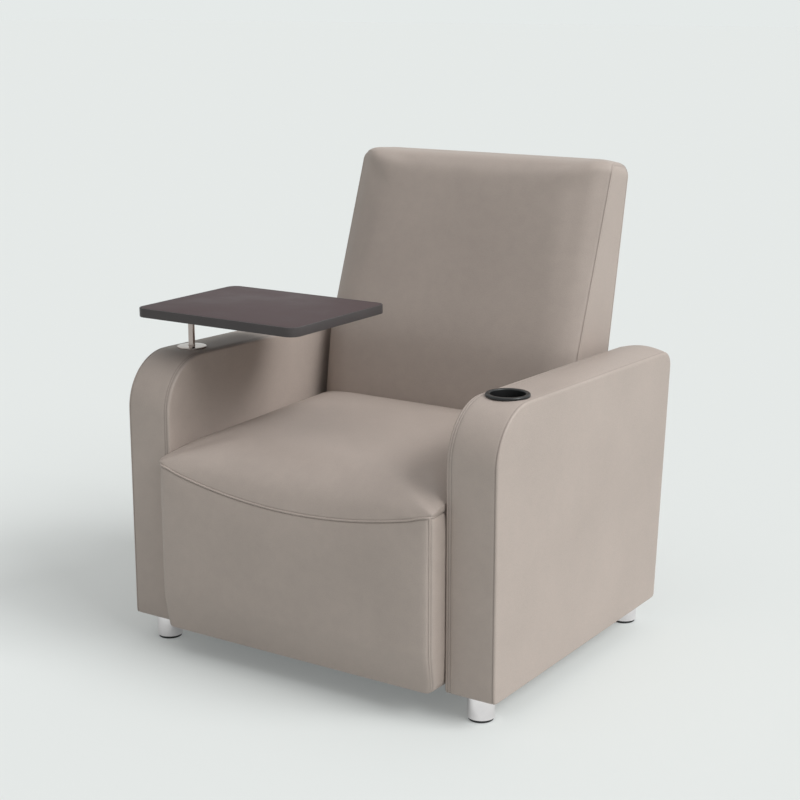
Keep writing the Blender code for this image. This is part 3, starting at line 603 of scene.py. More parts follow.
def skin_group(name, *extras):
    """A node group for a skin, and the sockets that it starts from: a place, a colour and extra values."""
    group = bpy.data.node_groups.new(name, "ShaderNodeTree")
    starts = {"Vector": "Vector", "Colour": "Color", **{extra: "Float" for extra in extras}}
    ends = {"Colour": "Color", "Roughness": "Float", "Height": "Float"}
    for way, sockets in (("INPUT", starts), ("OUTPUT", ends)):
        for socket, kind in sockets.items():
            group.interface.new_socket(name=socket, in_out=way, socket_type="NodeSocket" + kind)
    return group, group.nodes.new("NodeGroupInput").outputs


def skin_end(group, tinted, roughness, height):
    """Leads a skin's colour, roughness and height out of its group."""
    node(group, "NodeGroupOutput", {"Colour": tinted, "Roughness": roughness, "Height": height})
    return group


def noise(tree, vector, scale, detail):
    values = {"Vector": vector, "Scale": scale, "Detail": detail}
    return node(tree, "ShaderNodeTexNoise", values).outputs["Fac"]


def stretched(tree, vector, shares):
    """A place, drawn out or pressed together along each axis."""
    return node(tree, "ShaderNodeVectorMath", {0: vector, 1: shares}, operation="MULTIPLY").outputs["Vector"]


def spread(tree, value, low, high, from_low=0.3, from_high=0.7):
    """A value spread over a new range."""
    ends = {"Value": value, "From Min": from_low, "From Max": from_high, "To Min": low, "To Max": high}
    return node(tree, "ShaderNodeMapRange", ends).outputs["Result"]


def sums(tree, operation, first, second):
    """A sum of two values, each a socket or a number."""
    return node(tree, "ShaderNodeMath", {0: first, 1: second}, operation=operation).outputs["Value"]


def shaded(tree, tone, share, *others):
    """A colour made lighter or darker by shares."""
    for other in others:
        share = sums(tree, "MULTIPLY", share, other)
    values = {0: tone, "Scale": share}
    return node(tree, "ShaderNodeVectorMath", values, operation="SCALE").outputs["Vector"]


def vinyl_skin():
    """Pebbled grain, uneven tint and painted shade along the seams of a leather-look cover."""
    group, start = skin_group("vinyl_skin", "Seam", "Grain")
    vector = start["Vector"]
    values = {"Vector": vector, "Scale": start["Grain"], "Smoothness": 0.35}
    pebble = node(group, "ShaderNodeTexVoronoi", values, feature="SMOOTH_F1")
    crease = spread(group, pebble.outputs["Distance"], 0.0, 1.0, 0.15, 0.75)
    fine = noise(group, vector, 420.0, 3.0)
    broad = noise(group, vector, 5.0, 3.0)
    patch = noise(group, vector, 46.0, 4.0)
    # The last share is painted shade along the seams, read from the seam mark
    tinted = shaded(
        group, start["Colour"], spread(group, broad, 0.955, 1.035), spread(group, patch, 0.975, 1.022),
        spread(group, crease, 1.012, 0.962, 0.0, 1.0), spread(group, start["Seam"], 1.0, 0.72, 0.20, 0.90),
    )
    gloss = sums(group, "ADD", spread(group, patch, 0.44, 0.54), spread(group, crease, -0.02, 0.08, 0.0, 1.0))
    height = sums(group, "SUBTRACT", sums(group, "MULTIPLY", fine, 0.35), crease)
    return skin_end(group, tinted, gloss, height)


def wood_figure():
    """Growth lines and pores of bare wood."""
    group, start = skin_group("wood_figure", "Rings")
    grain = stretched(group, start["Vector"], (1.0, 0.12, 0.35))
    values = {"Vector": grain, "Scale": start["Rings"], "Distortion": 5.0, "Detail": 3.0, "Detail Scale": 1.4}
    lines = node(group, "ShaderNodeTexWave", values).outputs["Fac"]
    pores = noise(group, grain, 700.0, 2.0)
    tinted = shaded(
        group, start["Colour"], spread(group, lines, 0.80, 1.08, 0.0, 1.0), spread(group, pores, 0.90, 1.05)
    )
    return skin_end(group, tinted, spread(group, pores, 0.72, 0.60), sums(group, "ADD", lines, pores))


def moulded_skin():
    """Fine spark texture and faint flow marks of a hard moulded or pressed surface."""
    group, start = skin_group("moulded_skin", "Texture", "Dull")
    spark = noise(group, start["Vector"], start["Texture"], 3.0)
    flow = noise(group, start["Vector"], 14.0, 3.0)
    tinted = shaded(
        group, start["Colour"], spread(group, flow, 0.94, 1.06), spread(group, spark, 0.95, 1.05)
    )
    gloss = sums(group, "MULTIPLY", spread(group, flow, 0.85, 1.15), start["Dull"])
    return skin_end(group, tinted, gloss, spark)


def woven_cloth():
    """Crossing threads of a strap or a lining."""
    group, start = skin_group("woven_cloth", "Threads")
    values = {"Vector": start["Vector"], "Scale": start["Threads"]}
    runs = [
        node(group, "ShaderNodeTexWave", values, bands_direction=way).outputs["Fac"] for way in ("X", "Y")
    ]
    over = sums(group, "MAXIMUM", *runs)
    worn = noise(group, start["Vector"], 30.0, 3.0)
    tinted = shaded(
        group, start["Colour"], spread(group, over, 0.72, 1.08, 0.2, 1.0), spread(group, worn, 0.90, 1.08)
    )
    return skin_end(group, tinted, spread(group, worn, 0.80, 0.95), over)


def handled_metal():
    """Faint wipe marks and specks on plated metal."""
    group, start = skin_group("handled_metal", "Dull")
    wipes = noise(group, stretched(group, start["Vector"], (1.0, 1.0, 0.08)), 380.0, 3.0)
    haze = noise(group, start["Vector"], 40.0, 4.0)
    tinted = shaded(group, start["Colour"], spread(group, haze, 0.95, 1.03))
    gloss = sums(group, "MULTIPLY", spread(group, haze, 0.75, 1.35), start["Dull"])
    return skin_end(group, tinted, gloss, wipes)


def new_finish(name, group, tint, extra, bump, metallic=0.0, specular=0.5, seam=False):
    """A finish whose colour, gloss and relief come from a group on object coordinates."""
    finish = bpy.data.materials.new(name)
    finish.use_nodes = True
    tree = finish.node_tree
    values = {"Vector": node(tree, "ShaderNodeTexCoord").outputs["Object"], "Colour": (*tint, 1), **extra}
    # The seam mark, which drives the painted shade along seams
    if seam:
        values["Seam"] = node(tree, "ShaderNodeAttribute", attribute_name=SEAM_SHADE_MARK).outputs["Fac"]
    skin = node(tree, "ShaderNodeGroup", values, node_tree=group)
    strength, distance = bump
    values = {"Strength": strength, "Distance": distance, "Height": skin.outputs["Height"]}
    relief = node(tree, "ShaderNodeBump", values)
    feed(tree, tree.nodes["Principled BSDF"], {
        "Base Color": skin.outputs["Colour"],
        "Roughness": skin.outputs["Roughness"],
        "Normal": relief.outputs["Normal"],
        "Metallic": metallic,
        "Specular IOR Level": specular,
    })
    FINISH[name] = finish


class MakeFinishes(bpy.types.Operator):
    """Make the finishes and give the frame's own pieces theirs"""

    bl_idname = "guest_chair.finishes"
    bl_label = "Finishes"

    def execute(self, context):
        tints = context.scene.guest_chair_colours
        vinyl, wood, moulded = vinyl_skin(), wood_figure(), moulded_skin()
        cloth, metal = woven_cloth(), handled_metal()
        new_finish(
            "vinyl", vinyl, tints.vinyl, {"Grain": 620.0}, (0.22, 0.0006), specular=0.42, seam=True
        )
        for name, texture, dull, bump, specular in (
            ("laminate", 520.0, 0.55, (0.06, 0.0003), 0.03),
            ("edge_band", 900.0, 0.42, (0.10, 0.0003), 0.15),
            ("black_plastic", 1500.0, 0.36, (0.12, 0.0002), 0.5),
        ):
            extra = {"Texture": texture, "Dull": dull}
            new_finish(name, moulded, getattr(tints, name), extra, bump, specular=specular)
        for name, dull, bump in (
            ("chrome", 0.05, (0.02, 0.0001)), ("post", 0.11, (0.02, 0.0001)), ("steel", 0.38, (0.08, 0.0002))
        ):
            new_finish(name, metal, getattr(tints, name), {"Dull": dull}, bump, metallic=1.0)
        new_finish("hardwood", wood, tints.hardwood, {"Rings": 26.0}, (0.15, 0.0005))
        new_finish("plywood", wood, tints.plywood, {"Rings": 9.0}, (0.12, 0.0005))
        new_finish("webbing", cloth, tints.webbing, {"Threads": 160.0}, (0.5, 0.0008))
        new_finish("dust_cloth", cloth, tints.lining, {"Threads": 320.0}, (0.3, 0.0004))
        for part in frame["record"]["subparts"]:
            solid = frame["nodes"][part["node"]]
            finish = FINISH.get(part["material_slot"], FINISH["vinyl"])
            solid.data.materials.clear()
            solid.data.materials.append(finish)
        for rail in ("seat_left_rail", "seat_right_rail"):
            frame["nodes"][rail].data.materials[0] = FINISH["dust_cloth"]
        return {"FINISHED"}


# Padded covers

def arm_outline(sizes, inset):
    """Side outline of an arm, drawn in from its face, as (depth, height) points from its front foot."""
    rake = (sizes.arm_top_depth - sizes.arm_foot_depth) / (sizes.arm_rear_height - ARM_FOOT)
    foot = ARM_FOOT + ARM_FOOT_LIFT * inset
    front_foot = Vector((inset, foot))
    front_top = Vector((inset, sizes.arm_front_height - inset))
    rear_height = sizes.arm_rear_height - inset
    rear_top = Vector((sizes.arm_foot_depth + rake * (rear_height - ARM_FOOT) - inset, rear_height))
    rear_foot = Vector((sizes.arm_foot_depth + rake * (foot - ARM_FOOT) - inset, foot))
    front_round = max(LEAST_FRONT_ROUND, sizes.arm_front_radius - inset)
    rear_round = max(LEAST_REAR_ROUND, sizes.arm_rear_radius - inset)
    front_arc = fillet(front_top, front_foot, rear_top, front_round, FRONT_ARC_STEPS)
    rear_arc = fillet(rear_top, front_top, rear_foot, rear_round, REAR_ARC_STEPS)
    front_low = front_foot.lerp(front_arc[0], NEAR)
    rear_low = rear_arc[-1].lerp(rear_foot, 1 - NEAR)
    under_rear = rear_foot.lerp(front_foot, NEAR)
    under_front = front_foot.lerp(rear_foot, NEAR)
    points = [front_foot, *between(front_low, front_arc[0], UPRIGHT_STEPS), *front_arc[:-1]]
    points += [*between(front_arc[-1], rear_arc[0], TOP_STEPS), *rear_arc[:-1]]
    points += [*between(rear_arc[-1], rear_low, UPRIGHT_STEPS), rear_low, rear_foot]
    points += [*between(under_rear, under_front, UNDER_STEPS), under_front]
    return points


def arm_sections(sizes, trim):
    """Across an arm from its inner face: place and inset of each ring, and places of the stitched lines."""
    edge = sizes.arm_edge
    side = [(0.0, inset) for inset in SIDE_INSETS]
    turns = [math.radians(angle) for angle in EDGE_TURNS]
    side += [(edge * (1 - math.cos(turn)), edge * (1 - math.sin(turn))) for turn in turns]
    outer = [(ARM_WIDTH - place, inset) for place, inset in reversed(side)]
    half = trim.strip / 2
    lines = [trim.strip_inset - half, trim.strip_inset + half, ARM_WIDTH - trim.line_inset]
    stitched = [
        [(line - STITCH_HALF, 0.0), (line, trim.groove), (line + STITCH_HALF, 0.0)] for line in lines
    ]
    band = [(blend(lines[1], lines[2], share), 0.0) for share in BAND_SHARES]
    return [*side, *stitched[0], *stitched[1], *band, *stitched[2], *outer], lines


def arm_ring(sizes, side, place, inset):
    """One ring of an arm's skin, swollen by its share of the crown."""
    share = math.sin(math.pi * place / ARM_WIDTH)
    points = arm_outline(sizes, inset)
    ring = []
    for i, point in enumerate(points):
        run = points[(i + 1) % len(points)] - points[i - 1]
        out = Vector((-run.y, run.x)).normalized()
        rear = ease((point.x - CROWN_DEPTH) / CROWN_RUN) * ease((point.y - CROWN_HEIGHT) / CROWN_RISE)
        crown = blend(sizes.arm_crown_front, sizes.arm_crown, rear)
        point = point + out * (share * crown * ease((point.y - ARM_FOOT) / FOOT_RISE))
        ring.append(at_depth(side * (ARM_INNER + place), point.x, max(point.y, ARM_FOOT)))
    return ring


class MakeArms(bpy.types.Operator):
    """Make both padded arms with their stitched bands"""

    bl_idname = "guest_chair.arms"
    bl_label = "Padded arms"

    def execute(self, context):
        sizes, trim = sizes_and_trim(context)
        holes = {
            "left": (FLANGE_LOW, FLANGE_HIGH, POST_HOLE, POST_LOW.z - POST_ROOM),
            "right": (CUP_LOW, CUP_HIGH, CUP_HOLE, CUP_LOW.z - CUP_ROOM),
        }
        sections, lines = arm_sections(sizes, trim)
        middle = at_depth(0, sizes.arm_foot_depth / 2, blend(ARM_FOOT, sizes.arm_rear_height, 0.5))
        for hand, side in SIDES.items():
            rings = [arm_ring(sizes, side, place, inset) for place, inset in sections]
            grooves = [ring for ring, section in zip(rings, sections) if section[0] in lines]
            poles = [Vector((rings[i][0].x, middle.y, middle.z)) for i in (0, -1)]
            piece = lofted(rings, poles)
            soften(piece)
            low, high, radius, floor = holes[hand]
            top = high.z + CUTTER_REACH
            begin()
            bpy.ops.mesh.primitive_cylinder_add(
                vertices=HOLE_STEPS, radius=radius, depth=top - floor,
                location=((low.x + high.x) / 2, (low.y + high.y) / 2, (top + floor) / 2),
            )
            cutter = bpy.context.object
            apply(piece, "BOOLEAN", operation="DIFFERENCE", object=cutter, solver="EXACT")
            bpy.data.objects.remove(cutter, do_unlink=True)
            # Marks the stitched lines for painted shade only; the cover is not drawn in
            sew(piece, [[*ring, ring[0]] for ring in grooves], STITCH_SHADE_REACH, 0.0)
            name = "arm_" + hand
            done(piece, name + "_upholstery", "vinyl", ARM_ANGLE, (name + "_cover", name + "_band_foam"))
        return {"FINISHED"}


def seam_height(sizes, across):
    """Height of the front seam, which flattens out towards its ends."""
    near_end = blend(SEAM_END_DROOP, 1.0, ease((1 - abs(across)) / SEAM_END))
    return sizes.seam_corner - sizes.seam_droop * (1 - across * across) * near_end


class MakeSeat(bpy.types.Operator):
    """Make the filled seat cushion"""

    bl_idname = "guest_chair.seat"
    bl_label = "Seat cushion"

    def execute(self, context):
        sizes, trim = sizes_and_trim(context)
        half = SEAT_HIGH.x
        front = SEAT_LOW.y - FRONT

        def place(u, v, w):
            across, along, up = crowd(u), crowd(v), crowd(w)
            back = (along + 1) / 2
            depth = front + back * sizes.seat_depth
            roll = min(1.0, back * sizes.seat_depth / sizes.seat_roll)
            edge = blend(sizes.seat_front_edge, sizes.seat_rear_edge, math.sin(back * math.pi / 2))
            rise = shoulder(half * (1 - abs(across)), sizes.seat_shoulder)
            crown = sizes.seat_crown * math.sqrt(rise)
            seam = seam_height(sizes, across) + SEAM_GAP
            lip = blend(LEAST_LIP, sizes.seat_lip, rise)
            top = blend(seam + lip, edge + crown, math.sqrt(roll * (2 - roll)))
            foot = blend(seam, SEAT_LOW.z, ease((depth - SEAT_UNDER) / SEAT_UNDER_RUN))
            x, depth = side_round(across * half, half, depth, front, sizes.panel_corner, -1)
            return at_depth(x, depth, blend(foot, top, (up + 1) / 2))

        piece, held = cage(SEAT_ROWS, place)
        fill_out(piece, held, sizes.seat_fill)
        soften(piece)
        sew(piece, [front_seam(sizes, 0.0)], trim.seam_reach, trim.seam_depth)
        done(piece, "seat_cushion", "vinyl", SOFT_ANGLE, ("seat_cover", "seat_foam"))
        return {"FINISHED"}


def panel_edge(sizes, height):
    """How far the front panel draws back and in near its foot."""
    share = ease((APRON_LOW.z + PANEL_TUCK_HEIGHT - height) / PANEL_TUCK_HEIGHT)
    return sizes.panel_tuck * share, PANEL_DRAW * share


def front_seam(sizes, sunk):
    """Points of the seam round the seat's front, from arm to arm, sunk below the cover."""
    half = APRON_HIGH.x - sunk
    front = APRON_LOW.y - FRONT + sunk
    corner = sizes.panel_corner - sunk
    end = []
    for share in evenly(0.0, 1.0, ROUND_STEPS):
        height = sizes.seam_corner + SEAM_REAR_RISE * (1 - share)
        end.append(Vector((-half, blend(SEAM_REAR, front + corner, share), height)))
    for inwards, along in quarter():
        end.append(Vector((-half + corner * inwards, front + corner * along, sizes.seam_corner)))
    across = evenly(-half + corner, half - corner, FRONT_SEAM_STEPS)[1:-1]
    flat = [Vector((x, front, 0)) for x in across]
    other = [Vector((-point.x, point.y, point.z)) for point in reversed(end)]
    run = end + flat + other
    for point in run:
        if abs(point.x) <= half - corner * SEAM_LEVEL:
            point.z = seam_height(sizes, point.x / half)
    return [at_depth(*point) for point in run]


def corner_seam(sizes, side, sunk):
    """Points of the upright seam at the front panel's corner."""
    corner = sizes.panel_corner
    spot = corner - (corner - sunk) * math.sqrt(0.5)
    points = []
    for height in evenly(sizes.seam_corner, APRON_LOW.z + CORNER_SEAM_LIFT, SIDE_SEAM_STEPS):
        back, inwards = panel_edge(sizes, height)
        lift = max(0.0, 1 - (height - APRON_LOW.z) / PANEL_FOOT_ROUND)
        half = APRON_HIGH.x - inwards - PANEL_FOOT_ROUND * (1 - math.sqrt(max(0.0, 1 - lift * lift)))
        points.append(at_depth(side * (half - spot), APRON_LOW.y - FRONT + back + spot, height))
    return points


class MakeFrontPanel(bpy.types.Operator):
    """Make the padded front panel under the seat"""

    bl_idname = "guest_chair.front_panel"
    bl_label = "Front panel"

    def execute(self, context):
        sizes, trim = sizes_and_trim(context)
        half, front, rear = APRON_HIGH.x, APRON_LOW.y - FRONT, APRON_HIGH.y - FRONT
        foot = APRON_LOW.z

        def place(u, v, w):
            across, along, up = crowd(u), v, crowd(w)
            top = seam_height(sizes, across) - SEAM_GAP
            height = blend(foot, top, (up + 1) / 2)
            back, inwards = panel_edge(sizes, height)
            rise = shoulder(half * (1 - abs(across)), sizes.panel_shoulder)
            swell = sizes.panel_swell * rise * (1 - up ** 4)
            depth = blend(front + back, rear, (along + 1) / 2)
            end = half - inwards
            x, height = side_round(across * end, end, height, foot, PANEL_FOOT_ROUND, -1)
            x, depth = side_round(x, end, depth, front + back, sizes.panel_corner, -1)
            bulge = across ** 9 * (1 - up ** 12) * shoulder(depth - front, PANEL_SIDE_REACH)
            return at_depth(x + sizes.panel_side_swell * bulge, depth - swell * (1 - along) / 2, height)

        piece = cage(PANEL_ROWS, place)[0]
        soften(piece)
        seams = [front_seam(sizes, 0.0), *(corner_seam(sizes, side, 0.0) for side in SIDES.values())]
        sew(piece, seams, trim.seam_reach, trim.seam_depth)
        done(piece, "front_panel", "vinyl", SOFT_ANGLE, ("apron_cover", "apron_foam"))
        return {"FINISHED"}


def raked(sizes, x, out, rise):
    """A point given by its place across, its depth from the back's rear face and its height along it."""
    lean = sizes.back_rake
    return at_depth(
        x, sizes.back_foot_depth + out * math.cos(lean) + rise * math.sin(lean),
        rise * math.cos(lean) - out * math.sin(lean),
    )


def back_thickness(sizes, rise):
    """Thickness of the back at its side seams, even where the top rounds off."""
    rise = min(rise, sizes.back_height - sizes.back_round)
    if rise < sizes.back_lumbar:
        share = (rise - sizes.back_base) / (sizes.back_lumbar - sizes.back_base)
        return blend(sizes.back_base_thick, sizes.back_lumbar_thick, math.sin(share * math.pi / 2))
    share = (rise - sizes.back_lumbar) / (sizes.back_height - sizes.back_lumbar)
    return blend(sizes.back_lumbar_thick, sizes.back_top_thick, share)


def back_side_seam(sizes, side, sunk):
    """Points of the seam between the back's front and a side panel, over the top to its rear."""
    top = sizes.back_height - sunk
    corner = sizes.back_round
    front_top = -back_thickness(sizes, sizes.back_height) + sunk
    rises = evenly(sizes.back_base, top - corner, SIDE_SEAM_STEPS)
    points = [(-back_thickness(sizes, rise) + sunk, rise) for rise in rises]
    points += [(front_top + corner * along, top - corner * up) for along, up in quarter()]
    points.append((-sizes.outside_thick, top))
    x = sizes.back_half - sunk
    run = []
    for out, rise in points:
        across, rise = side_round(side * x, x, rise, top, sizes.back_corner, 1)
        run.append(raked(sizes, across, out, rise))
    return run


def back_rear_seam(sizes, sunk):
    """Points of the seam round the outside back."""
    top = sizes.back_height - sunk
    x = sizes.back_half - sunk
    corner = sizes.back_corner
    half = [(x, rise) for rise in evenly(sizes.back_base, top - corner, REAR_SEAM_STEPS)]
    half += [(x - corner * along, top - corner * up) for along, up in quarter()]
    across = [(place, top) for place in evenly(x - corner, corner - x, SIDE_SEAM_STEPS)[1:-1]]
    other = [(-place, rise) for place, rise in reversed(half)]
    return [raked(sizes, place, -sizes.outside_thick, rise) for place, rise in half + across + other]


class MakeBack(bpy.types.Operator):
    """Make the filled back cushion and the outside back"""

    bl_idname = "guest_chair.back"
    bl_label = "Back"

    def execute(self, context):
        sizes, trim = sizes_and_trim(context)
        half, top = sizes.back_half, sizes.back_height

        def place(u, v, w):
            across, along, up = crowd(u), crowd(v), crowd(w)
            rise = blend(sizes.back_base, top, (up + 1) / 2)
            crown = sizes.back_crown * shoulder(half * (1 - abs(across)), sizes.back_shoulder)
            out = blend(-back_thickness(sizes, rise) - crown, -sizes.outside_thick, (along + 1) / 2)
            front_top = -back_thickness(sizes, top) - crown
            out, rise = rounded(out, rise, front_top, top, sizes.back_round, (-1, 1))
            x, rise = side_round(across * half, half, rise, top, sizes.back_corner, 1)
            return raked(sizes, x, out, rise)

        piece, held = cage(BACK_ROWS, place)
        fill_out(piece, held, sizes.back_fill)
        soften(piece)
        seams = [back_side_seam(sizes, side, 0.0) for side in SIDES.values()]
        sew(piece, [*seams, back_rear_seam(sizes, 0.0)], trim.seam_reach, trim.seam_depth)
        done(piece, "back_cushion", "vinyl", SOFT_ANGLE, ("back_cover", "back_foam"))
        self.outside_back(sizes)
        return {"FINISHED"}

    def outside_back(self, sizes):
        half = sizes.back_half - OUTSIDE_INSET
        top = sizes.back_height - OUTSIDE_INSET

        def place(u, v, w):
            across, up = crowd(u), crowd(w)
            rise = blend(sizes.outside_foot, top, (up + 1) / 2)
            x, rise = side_round(across * half, half, rise, top, sizes.back_corner, 1)
            swell = OUTSIDE_SWELL * (1 - across ** 4) * (1 - up ** 4)
            out = swell if v > 0 else OUTSIDE_GAP - sizes.outside_thick
            return raked(sizes, x, out, rise)

        piece = cage(OUTSIDE_ROWS, place)[0]
        soften(piece)
        done(piece, "back_outside", "vinyl", SOFT_ANGLE, ("back_rear_panel",))


class MakeWelts(bpy.types.Operator):
    """Lay the welts along the seams of the seat, the front panel and the back"""

    bl_idname = "guest_chair.welts"
    bl_label = "Welts"

    def execute(self, context):
        sizes, trim = sizes_and_trim(context)
        sunk = trim.welt / 2 - trim.welt_proud
        fine = trim.fine_welt / 2 - trim.welt_proud / 2
        welt("front_seam_welt", front_seam(sizes, sunk), trim.welt)
        for hand, side in SIDES.items():
            welt("front_corner_welt_" + hand, corner_seam(sizes, side, sunk), trim.welt)
            welt("back_side_welt_" + hand, back_side_seam(sizes, side, fine), trim.fine_welt)
        welt("back_rear_welt", back_rear_seam(sizes, trim.fine_welt / 2), trim.fine_welt)
        return {"FINISHED"}


# Hardware

class MakeLegs(bpy.types.Operator):
    """Turn the four legs and their glides"""

    bl_idname = "guest_chair.legs"
    bl_label = "Legs"

    def execute(self, context):
        edge = context.scene.guest_chair_trim.hard_edge
        low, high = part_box("leg_front_left")
        foot_low, foot_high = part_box("leg_front_left_glide")
        middle = ((low + high) / 2).xy
        radius = (high.x - low.x) / 2
        neck = radius - LEG_NECK
        profile = [
            (0, low.z), (radius, low.z), (radius, high.z - LEG_NECK_FOOT), (neck, high.z - LEG_NECK_TOP),
            (neck, high.z), (0, high.z),
        ]
        leg = turned(round_profile(profile, LEG_EDGE), middle)
        radius = (foot_high.x - foot_low.x) / 2
        step = low.z - GLIDE_GAP
        foot = turned(round_profile([(0, 0), (radius, 0), (radius, step), (0, step)], edge), middle)
        for name in ("front_right", "rear_left", "rear_right", "front_left"):
            solid = "leg_" + name
            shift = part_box(solid)[0] - low
            last = name == "front_left"
            piece = leg if last else moved_copy(leg, shift)
            done(piece, solid + "_turned", "chrome", HARD_ANGLE, (solid,))
            piece = foot if last else moved_copy(foot, shift)
            done(piece, solid + "_foot", "black_plastic", HARD_ANGLE, (solid + "_glide",))
        return {"FINISHED"}


class MakeCupHolder(bpy.types.Operator):
    """Turn the cup holder with its rounded rim"""

    bl_idname = "guest_chair.cup_holder"
    bl_label = "Cup holder"

    def execute(self, context):
        edge = context.scene.guest_chair_trim.rim_edge
        centre = ((CUP_LOW + CUP_HIGH) / 2).xy
        rim = (CUP_HIGH.x - CUP_LOW.x) / 2
        top, foot = CUP_HIGH.z, CUP_LOW.z
        floor = foot + CUP_WALL
        bore = rim - CUP_RIM
        body = bore + CUP_WALL
        under = top - CUP_RIM_HEIGHT
        profile = [Vector((0, floor)), Vector((bore - CUP_FLOOR_START, floor))]
        corners = [Vector(corner) for corner in ((bore, under), (bore, top), (rim, top), (rim, under))]
        profile += fillet(Vector((bore, floor)), profile[-1], corners[0], CUP_FLOOR_ROUND, CUP_ROUND_STEPS)
        profile += fillet(corners[1], corners[0], corners[2], edge, CUP_ROUND_STEPS)
        profile += fillet(corners[2], corners[1], corners[3], edge, CUP_ROUND_STEPS)
        profile += fillet(corners[3], corners[2], Vector((body, under)), CUP_UNDER_ROUND, CUP_UNDER_STEPS)
        profile += [Vector((body, under)), Vector((body, floor))]
        profile += [Vector((body - CUP_WALL, foot)), Vector((0, foot))]
        piece = turned(profile, centre, steps=CUP_TURN_STEPS)
        done(piece, "cup_holder_moulded", "black_plastic", CUP_ANGLE, ("cup_holder",))
        return {"FINISHED"}


class MakeTablet(bpy.types.Operator):
    """Make the tablet's board, edge band, post and flange"""

    bl_idname = "guest_chair.tablet"
    bl_label = "Tablet"

    def plate(self, low, high, corner):
        """A flat face with round corners, open for editing with all of it selected."""
        begin()
        bpy.ops.mesh.primitive_plane_add(size=1)
        piece = bpy.context.object
        for vertex in piece.data.vertices:
            vertex.co.x = low.x if vertex.co.x < 0 else high.x
            vertex.co.y = low.y if vertex.co.y < 0 else high.y
            vertex.co.z = low.z
        edit(piece)
        bpy.ops.mesh.select_all(action="SELECT")
        bpy.ops.mesh.bevel(offset=corner, segments=CORNER_STEPS, affect="VERTICES")
        bpy.ops.mesh.select_all(action="SELECT")
        return piece

    def raise_plate(self, piece, edge, segments):
        """Raises a face to the tablet's thickness and rounds its edges."""
        thick = BAND_HIGH.z - BAND_LOW.z
        bpy.ops.mesh.extrude_region_move(TRANSFORM_OT_translate={"value": (0, 0, thick)})
        close(piece)
        apply(piece, "BEVEL", width=edge, segments=segments, limit_method="ANGLE", angle_limit=BEVEL_ANGLE)

    def execute(self, context):
        trim = context.scene.guest_chair_trim
        piece = self.plate(BOARD_LOW, BOARD_HIGH, trim.tablet_corner - trim.edge_band)
        self.raise_plate(piece, BOARD_EDGE, 2)
        done(piece, "tablet_board", "laminate", HARD_ANGLE, ("tablet_top",), body="tablet")
        piece = self.plate(BAND_LOW, BAND_HIGH, trim.tablet_corner)
        bpy.ops.mesh.inset(thickness=trim.edge_band, depth=0)
        bpy.ops.mesh.delete(type="FACE")
        bpy.ops.mesh.select_all(action="SELECT")
        self.raise_plate(piece, trim.hard_edge, 3)
        done(piece, "tablet_edge", "edge_band", HARD_ANGLE, ("tablet_edge_band",), body="tablet")
        centre = ((POST_LOW + POST_HIGH) / 2).xy
        radius = (POST_HIGH.x - POST_LOW.x) / 2
        corners = [(0, POST_LOW.z), (radius, POST_LOW.z), (radius, POST_HIGH.z), (0, POST_HIGH.z)]
        piece = turned(round_profile(corners, POST_EDGE), centre, steps=POST_TURN_STEPS)
        done(
            piece, "tablet_post_turned", "chrome", HARD_ANGLE, ("tablet_post",), body="tablet", finish="post"
        )
        outer = (FLANGE_HIGH.x - FLANGE_LOW.x) / 2
        inner = radius + FLANGE_GAP
        low, high = FLANGE_LOW.z, FLANGE_HIGH.z
        corners = [(inner, low), (outer, low), (outer, high - FLANGE_SLOPE), (inner, high)]
        piece = turned(round_profile(corners, FLANGE_EDGE), centre, closed=True)
        done(piece, "post_flange_turned", "chrome", HARD_ANGLE, ("post_flange",), finish="post")
        return {"FINISHED"}


# Stage

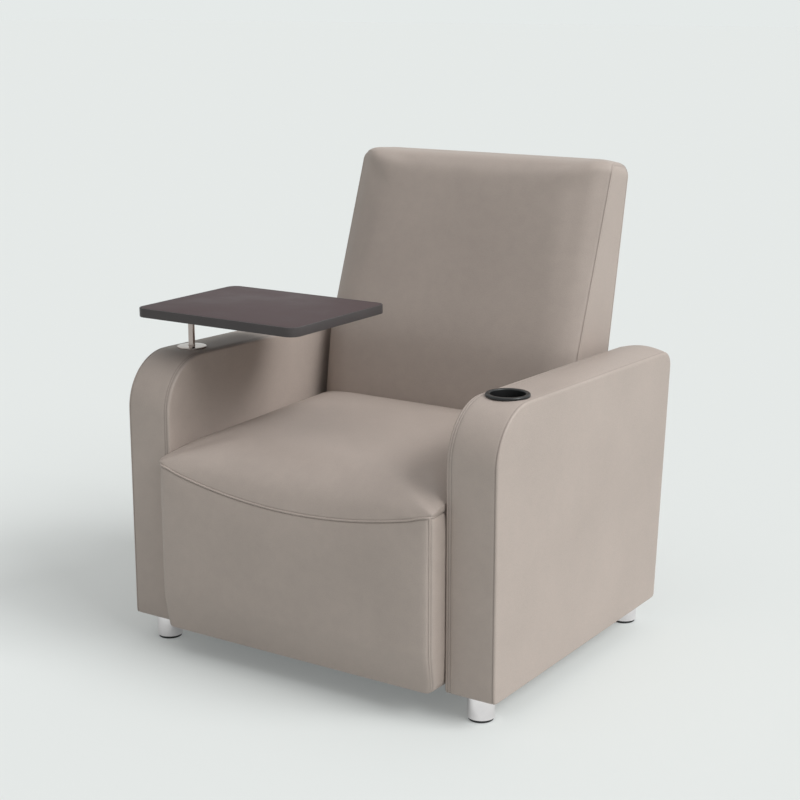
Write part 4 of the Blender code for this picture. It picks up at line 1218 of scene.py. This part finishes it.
class MakeStage(bpy.types.Operator):
    """Set the floor, the soft light and the camera"""

    bl_idname = "guest_chair.stage"
    bl_label = "Stage"

    def execute(self, context):
        scene = context.scene
        tint = (*scene.guest_chair_colours.backdrop, 1)
        scene.view_settings.view_transform = "Standard"
        self.floor(tint)
        self.surroundings(scene, tint)
        for name, (towards, strength, angle) in LAMPS.items():
            self.lamp(name, Vector(towards), strength, angle)
        begin()
        bpy.ops.object.camera_add(location=CAMERA_PLACE, rotation=CAMERA_TURN)
        camera = context.object
        camera.name = "viewpoint"
        camera.data.lens = LENS
        camera.data.sensor_width = SENSOR
        camera.data.dof.use_dof = False
        scene.camera = camera
        return {"FINISHED"}

    def floor(self, tint):
        begin()
        bpy.ops.mesh.primitive_plane_add(size=FLOOR_SIZE)
        floor = bpy.context.object
        floor.name = "floor"
        finish = bpy.data.materials.new("floor")
        finish.use_nodes = True
        tree = finish.node_tree
        straight = self.straight(tree)
        # Where seen straight the floor takes a lower share of its tone and gets a painted glow: painted light
        # that lightens the chair's shadow on it
        share = sums(tree, "SUBTRACT", FLOOR_TONE, sums(tree, "MULTIPLY", straight, FLOOR_SEEN_LESS))
        feed(tree, tree.nodes["Principled BSDF"], {
            "Base Color": shaded(tree, tint[:3], share),
            "Emission Color": tint,
            "Emission Strength": sums(tree, "MULTIPLY", straight, FLOOR_PAINTED_GLOW),
            "Roughness": 1.0,
            "Specular IOR Level": 0.0,
        })
        floor.data.materials.append(finish)

    def straight(self, tree):
        """1 where the eye, a gloss or a clear piece looks, so the pale ground and the floor's painted glow,
        which lightens the shadows on the floor, never light the chair.
        """
        path = node(tree, "ShaderNodeLightPath")
        first = sums(tree, "MAXIMUM", path.outputs["Is Camera Ray"], path.outputs["Is Glossy Ray"])
        return sums(tree, "MAXIMUM", first, path.outputs["Is Transmission Ray"])

    def surroundings(self, scene, tint):
        world = bpy.data.worlds.new("surroundings")
        scene.world = world
        world.use_nodes = True
        tree = world.node_tree
        tree.nodes.clear()
        soft = node(tree, "ShaderNodeBackground", {"Color": AMBIENT, "Strength": AMBIENT_STRENGTH})
        seen = node(tree, "ShaderNodeBackground", {"Color": tint, "Strength": 1.0})
        values = {"Fac": self.straight(tree), 1: soft.outputs["Background"], 2: seen.outputs["Background"]}
        mix = node(tree, "ShaderNodeMixShader", values)
        node(tree, "ShaderNodeOutputWorld", {"Surface": mix.outputs["Shader"]})

    def lamp(self, name, towards, strength, angle):
        begin()
        bpy.ops.object.light_add(type="SUN", location=towards * LAMP_DISTANCE)
        lamp = bpy.context.object
        lamp.name = name
        lamp.rotation_euler = towards.to_track_quat("Z", "Y").to_euler()
        lamp.data.energy = strength
        lamp.data.angle = math.radians(angle)


class GUEST_CHAIR_PT_looks(bpy.types.Panel):
    """Sizes, colours and steps of the guest chair's looks"""

    bl_label = "Guest chair"
    bl_space_type = "VIEW_3D"
    bl_region_type = "UI"
    bl_category = "Guest chair"

    def draw(self, context):
        for step in STEPS:
            self.layout.operator(step.bl_idname)
        for settings in SETTINGS:
            group = getattr(context.scene, settings)
            for name in group.__annotations__:
                self.layout.prop(group, name)


SETTINGS = {
    "guest_chair_covers": CoverSizes, "guest_chair_trim": TrimSizes, "guest_chair_colours": FinishColours,
}
STEPS = (
    MakeFinishes, MakeArms, MakeSeat, MakeFrontPanel, MakeBack, MakeWelts, MakeLegs, MakeCupHolder,
    MakeTablet, MakeStage,
)


def register():
    for name, group in SETTINGS.items():
        bpy.utils.register_class(group)
        setattr(bpy.types.Scene, name, PointerProperty(type=group))
    for step in STEPS:
        bpy.utils.register_class(step)
    bpy.utils.register_class(GUEST_CHAIR_PT_looks)


def unregister():
    bpy.utils.unregister_class(GUEST_CHAIR_PT_looks)
    for step in reversed(STEPS):
        bpy.utils.unregister_class(step)
    for name, group in SETTINGS.items():
        delattr(bpy.types.Scene, name)
        bpy.utils.unregister_class(group)


def main():
    register()
    bpy.ops.guest_chair.finishes()
    bpy.ops.guest_chair.arms()
    bpy.ops.guest_chair.seat()
    bpy.ops.guest_chair.front_panel()
    bpy.ops.guest_chair.back()
    bpy.ops.guest_chair.welts()
    bpy.ops.guest_chair.legs()
    bpy.ops.guest_chair.cup_holder()
    bpy.ops.guest_chair.tablet()
    bpy.ops.guest_chair.stage()


if __name__ == "__main__":
    main()
